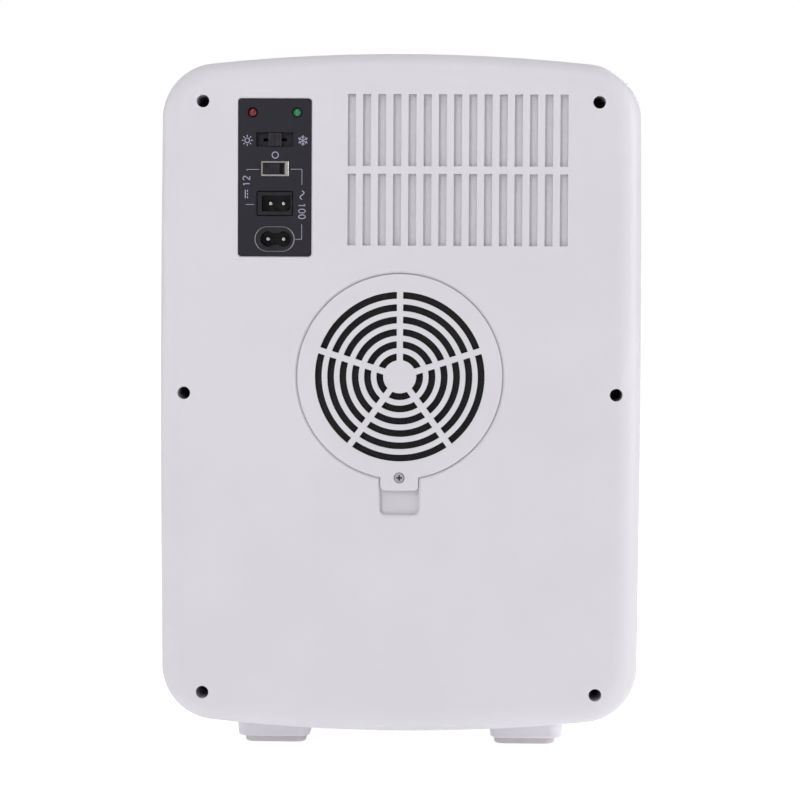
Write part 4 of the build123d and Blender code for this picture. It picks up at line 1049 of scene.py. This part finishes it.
class FRIDGE_OT_cooler(bpy.types.Operator):
    """Finish the cooling unit and the electrics"""

    bl_idname = "fridge.cooler"
    bl_label = "Cooler and electrics"
    bl_options = {"REGISTER", "UNDO"}

    def execute(self, context):
        dress(aluminium_finish(), "hot_sink", "cold_block", "cold_sink", "heat_spreaders")
        dress(ceramic_finish(), "peltier_module", "clamp_washers", "hinge_bushes")
        dress(board_finish(), "control_board", "power_board")
        dress(wound_finish(), "power_transformer")
        dress(can_finish(), "power_capacitors")
        dress(connector_finish(), "board_connectors")
        low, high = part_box("mains_leads")
        middle = (low.x + high.x) / 2
        dress(lead_finish("mains_wire", middle, tone(96, 58, 34), tone(36, 84, 150)), "mains_leads")
        red, black, between = tone(168, 24, 26), tone(24, 24, 26), 16 * MM
        dress(lead_finish("cooler_wire", between, red, black), "cooler_leads")
        return {"FINISHED"}


class FRIDGE_OT_stage(bpy.types.Operator):
    """Set the floor, the lights and the camera"""

    bl_idname = "fridge.stage"
    bl_label = "Stage"
    bl_options = {"REGISTER", "UNDO"}

    def execute(self, context):
        sizes = context.scene.fridge_sizes
        floor()
        surroundings()
        lights()
        camera(sizes)
        view = context.scene.view_settings
        view.view_transform = "Standard"
        view.look = "None"
        return {"FINISHED"}


# ---------------------------------------------------------------- stage


def floor():
    """A square so wide that its edge lies out of sight."""
    half = FLOOR_HALF
    mesh = bpy.data.meshes.new("floor")
    corners = [(-half, -half, 0), (half, -half, 0), (half, half, 0), (-half, half, 0)]
    mesh.from_pydata(corners, [], [(0, 1, 2, 3)])
    mesh.materials.append(floor_finish())
    ground = bpy.data.objects.new("floor", mesh)
    bpy.context.scene.collection.objects.link(ground)


def softbox(name, place, size, power):
    """A rectangular area light at a place, turned to the middle of the fridge."""
    lamp = bpy.data.lights.new(name, "AREA")
    lamp.shape = "RECTANGLE"
    lamp.size, lamp.size_y = size
    lamp.energy = power
    thing = bpy.data.objects.new(name, lamp)
    thing.location = place
    thing.rotation_euler = (Vector(LIT_POINT) - Vector(place)).to_track_quat("-Z", "Y").to_euler()
    bpy.context.scene.collection.objects.link(thing)


def surroundings():
    """White to the camera. As light they dim straight ahead and behind, so that plated parts have
    something dark to reflect: strength goes from SIDE_GLOW to END_GLOW as the direction nears Y."""
    world = bpy.data.worlds.new("studio")
    bpy.context.scene.world = world
    sky = Graph(world)
    way = sky.node("ShaderNodeTexCoord", {}, {}, "Generated")
    ahead = abs(sky.node("ShaderNodeSeparateXYZ", {}, [way], "Y"))
    strength = sky.node("ShaderNodeMapRange", {}, [ahead, 0.8, 0.98, SIDE_GLOW, END_GLOW])
    felt = sky.node("ShaderNodeBackground", {}, [(0.985, 0.985, 1.0), strength])
    seen = sky.node("ShaderNodeBackground", {}, [(1.0, 1.0, 1.0)])
    camera_ray = sky.node("ShaderNodeLightPath", {}, {}, "Is Camera Ray")
    both = sky.node("ShaderNodeMixShader", {}, [camera_ray, felt, seen])
    sky.node("ShaderNodeOutputWorld", {}, [both])


def lights():
    """The back's key softbox stands on the +X side and a grazing one on the -X side. The door has a
    like pair, and one softbox hangs above."""
    key, tall = (0.4, 0.65), (0.8, 1.6)
    softbox("key", (0.85, 1.9, 1.2), key, 9)
    softbox("rim", (-2.0, 0.2, 0.5), tall, 18)
    softbox("top", (0, 1.0, 2.1), (1.2, 1.0), 9)
    softbox("door_key", (-0.85, -1.9, 1.2), key, 9)
    softbox("door_rim", (2.0, -0.3, 0.5), tall, 4)


def camera(sizes):
    """Looks at the middle of the back, a little from the -X side and from above."""
    yaw, pitch, roll = sizes.camera_yaw, sizes.camera_pitch, sizes.camera_roll
    back = Vector((-math.sin(yaw) * math.cos(pitch), math.cos(yaw) * math.cos(pitch), math.sin(pitch)))
    level = Vector((-math.cos(yaw), -math.sin(yaw), 0))
    up = back.cross(level)
    right = math.cos(roll) * level + math.sin(roll) * up
    above = -math.sin(roll) * level + math.cos(roll) * up
    low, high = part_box("rear_cover")
    aside, height = -0.25 * MM, 184.7 * MM
    target = Vector((aside, high.y, low.z + height))
    eye = target + sizes.camera_distance * back
    lens = bpy.data.cameras.new("camera")
    lens.sensor_width = 36
    lens.lens = sizes.lens
    lens.clip_end = 50
    thing = bpy.data.objects.new("camera", lens)
    thing.matrix_world = Matrix(
        [[*row, place] for row, place in zip(zip(right, above, back), eye)] + [[0, 0, 0, 1]]
    )
    bpy.context.scene.collection.objects.link(thing)
    bpy.context.scene.camera = thing


# ---------------------------------------------------------------- interface


class FRIDGE_PT_panel(bpy.types.Panel):
    """Lists the pieces and their settings"""

    bl_label = "Mini fridge"
    bl_idname = "FRIDGE_PT_panel"
    bl_space_type = "VIEW_3D"
    bl_region_type = "UI"
    bl_category = "Fridge"

    def draw(self, context):
        for maker in MAKERS:
            self.layout.operator(maker.bl_idname)
        for group in (context.scene.fridge_sizes, context.scene.fridge_colours):
            column = self.layout.column()
            for name in group.__annotations__:
                column.prop(group, name)


MAKERS = (
    FRIDGE_OT_stage,
    FRIDGE_OT_casings,
    FRIDGE_OT_switches,
    FRIDGE_OT_filter,
    FRIDGE_OT_fans,
    FRIDGE_OT_compartment,
    FRIDGE_OT_cooler,
)
CLASSES = (FRIDGE_PG_sizes, FRIDGE_PG_colours, *MAKERS, FRIDGE_PT_panel)


def register():
    for item in CLASSES:
        bpy.utils.register_class(item)
    bpy.types.Scene.fridge_sizes = bpy.props.PointerProperty(type=FRIDGE_PG_sizes)
    bpy.types.Scene.fridge_colours = bpy.props.PointerProperty(type=FRIDGE_PG_colours)


def unregister():
    del bpy.types.Scene.fridge_sizes
    del bpy.types.Scene.fridge_colours
    for item in reversed(CLASSES):
        bpy.utils.unregister_class(item)


def main():
    register()
    for maker in MAKERS:
        group, action = maker.bl_idname.split(".")
        getattr(getattr(bpy.ops, group), action)()


if __name__ == "__main__":
    main()
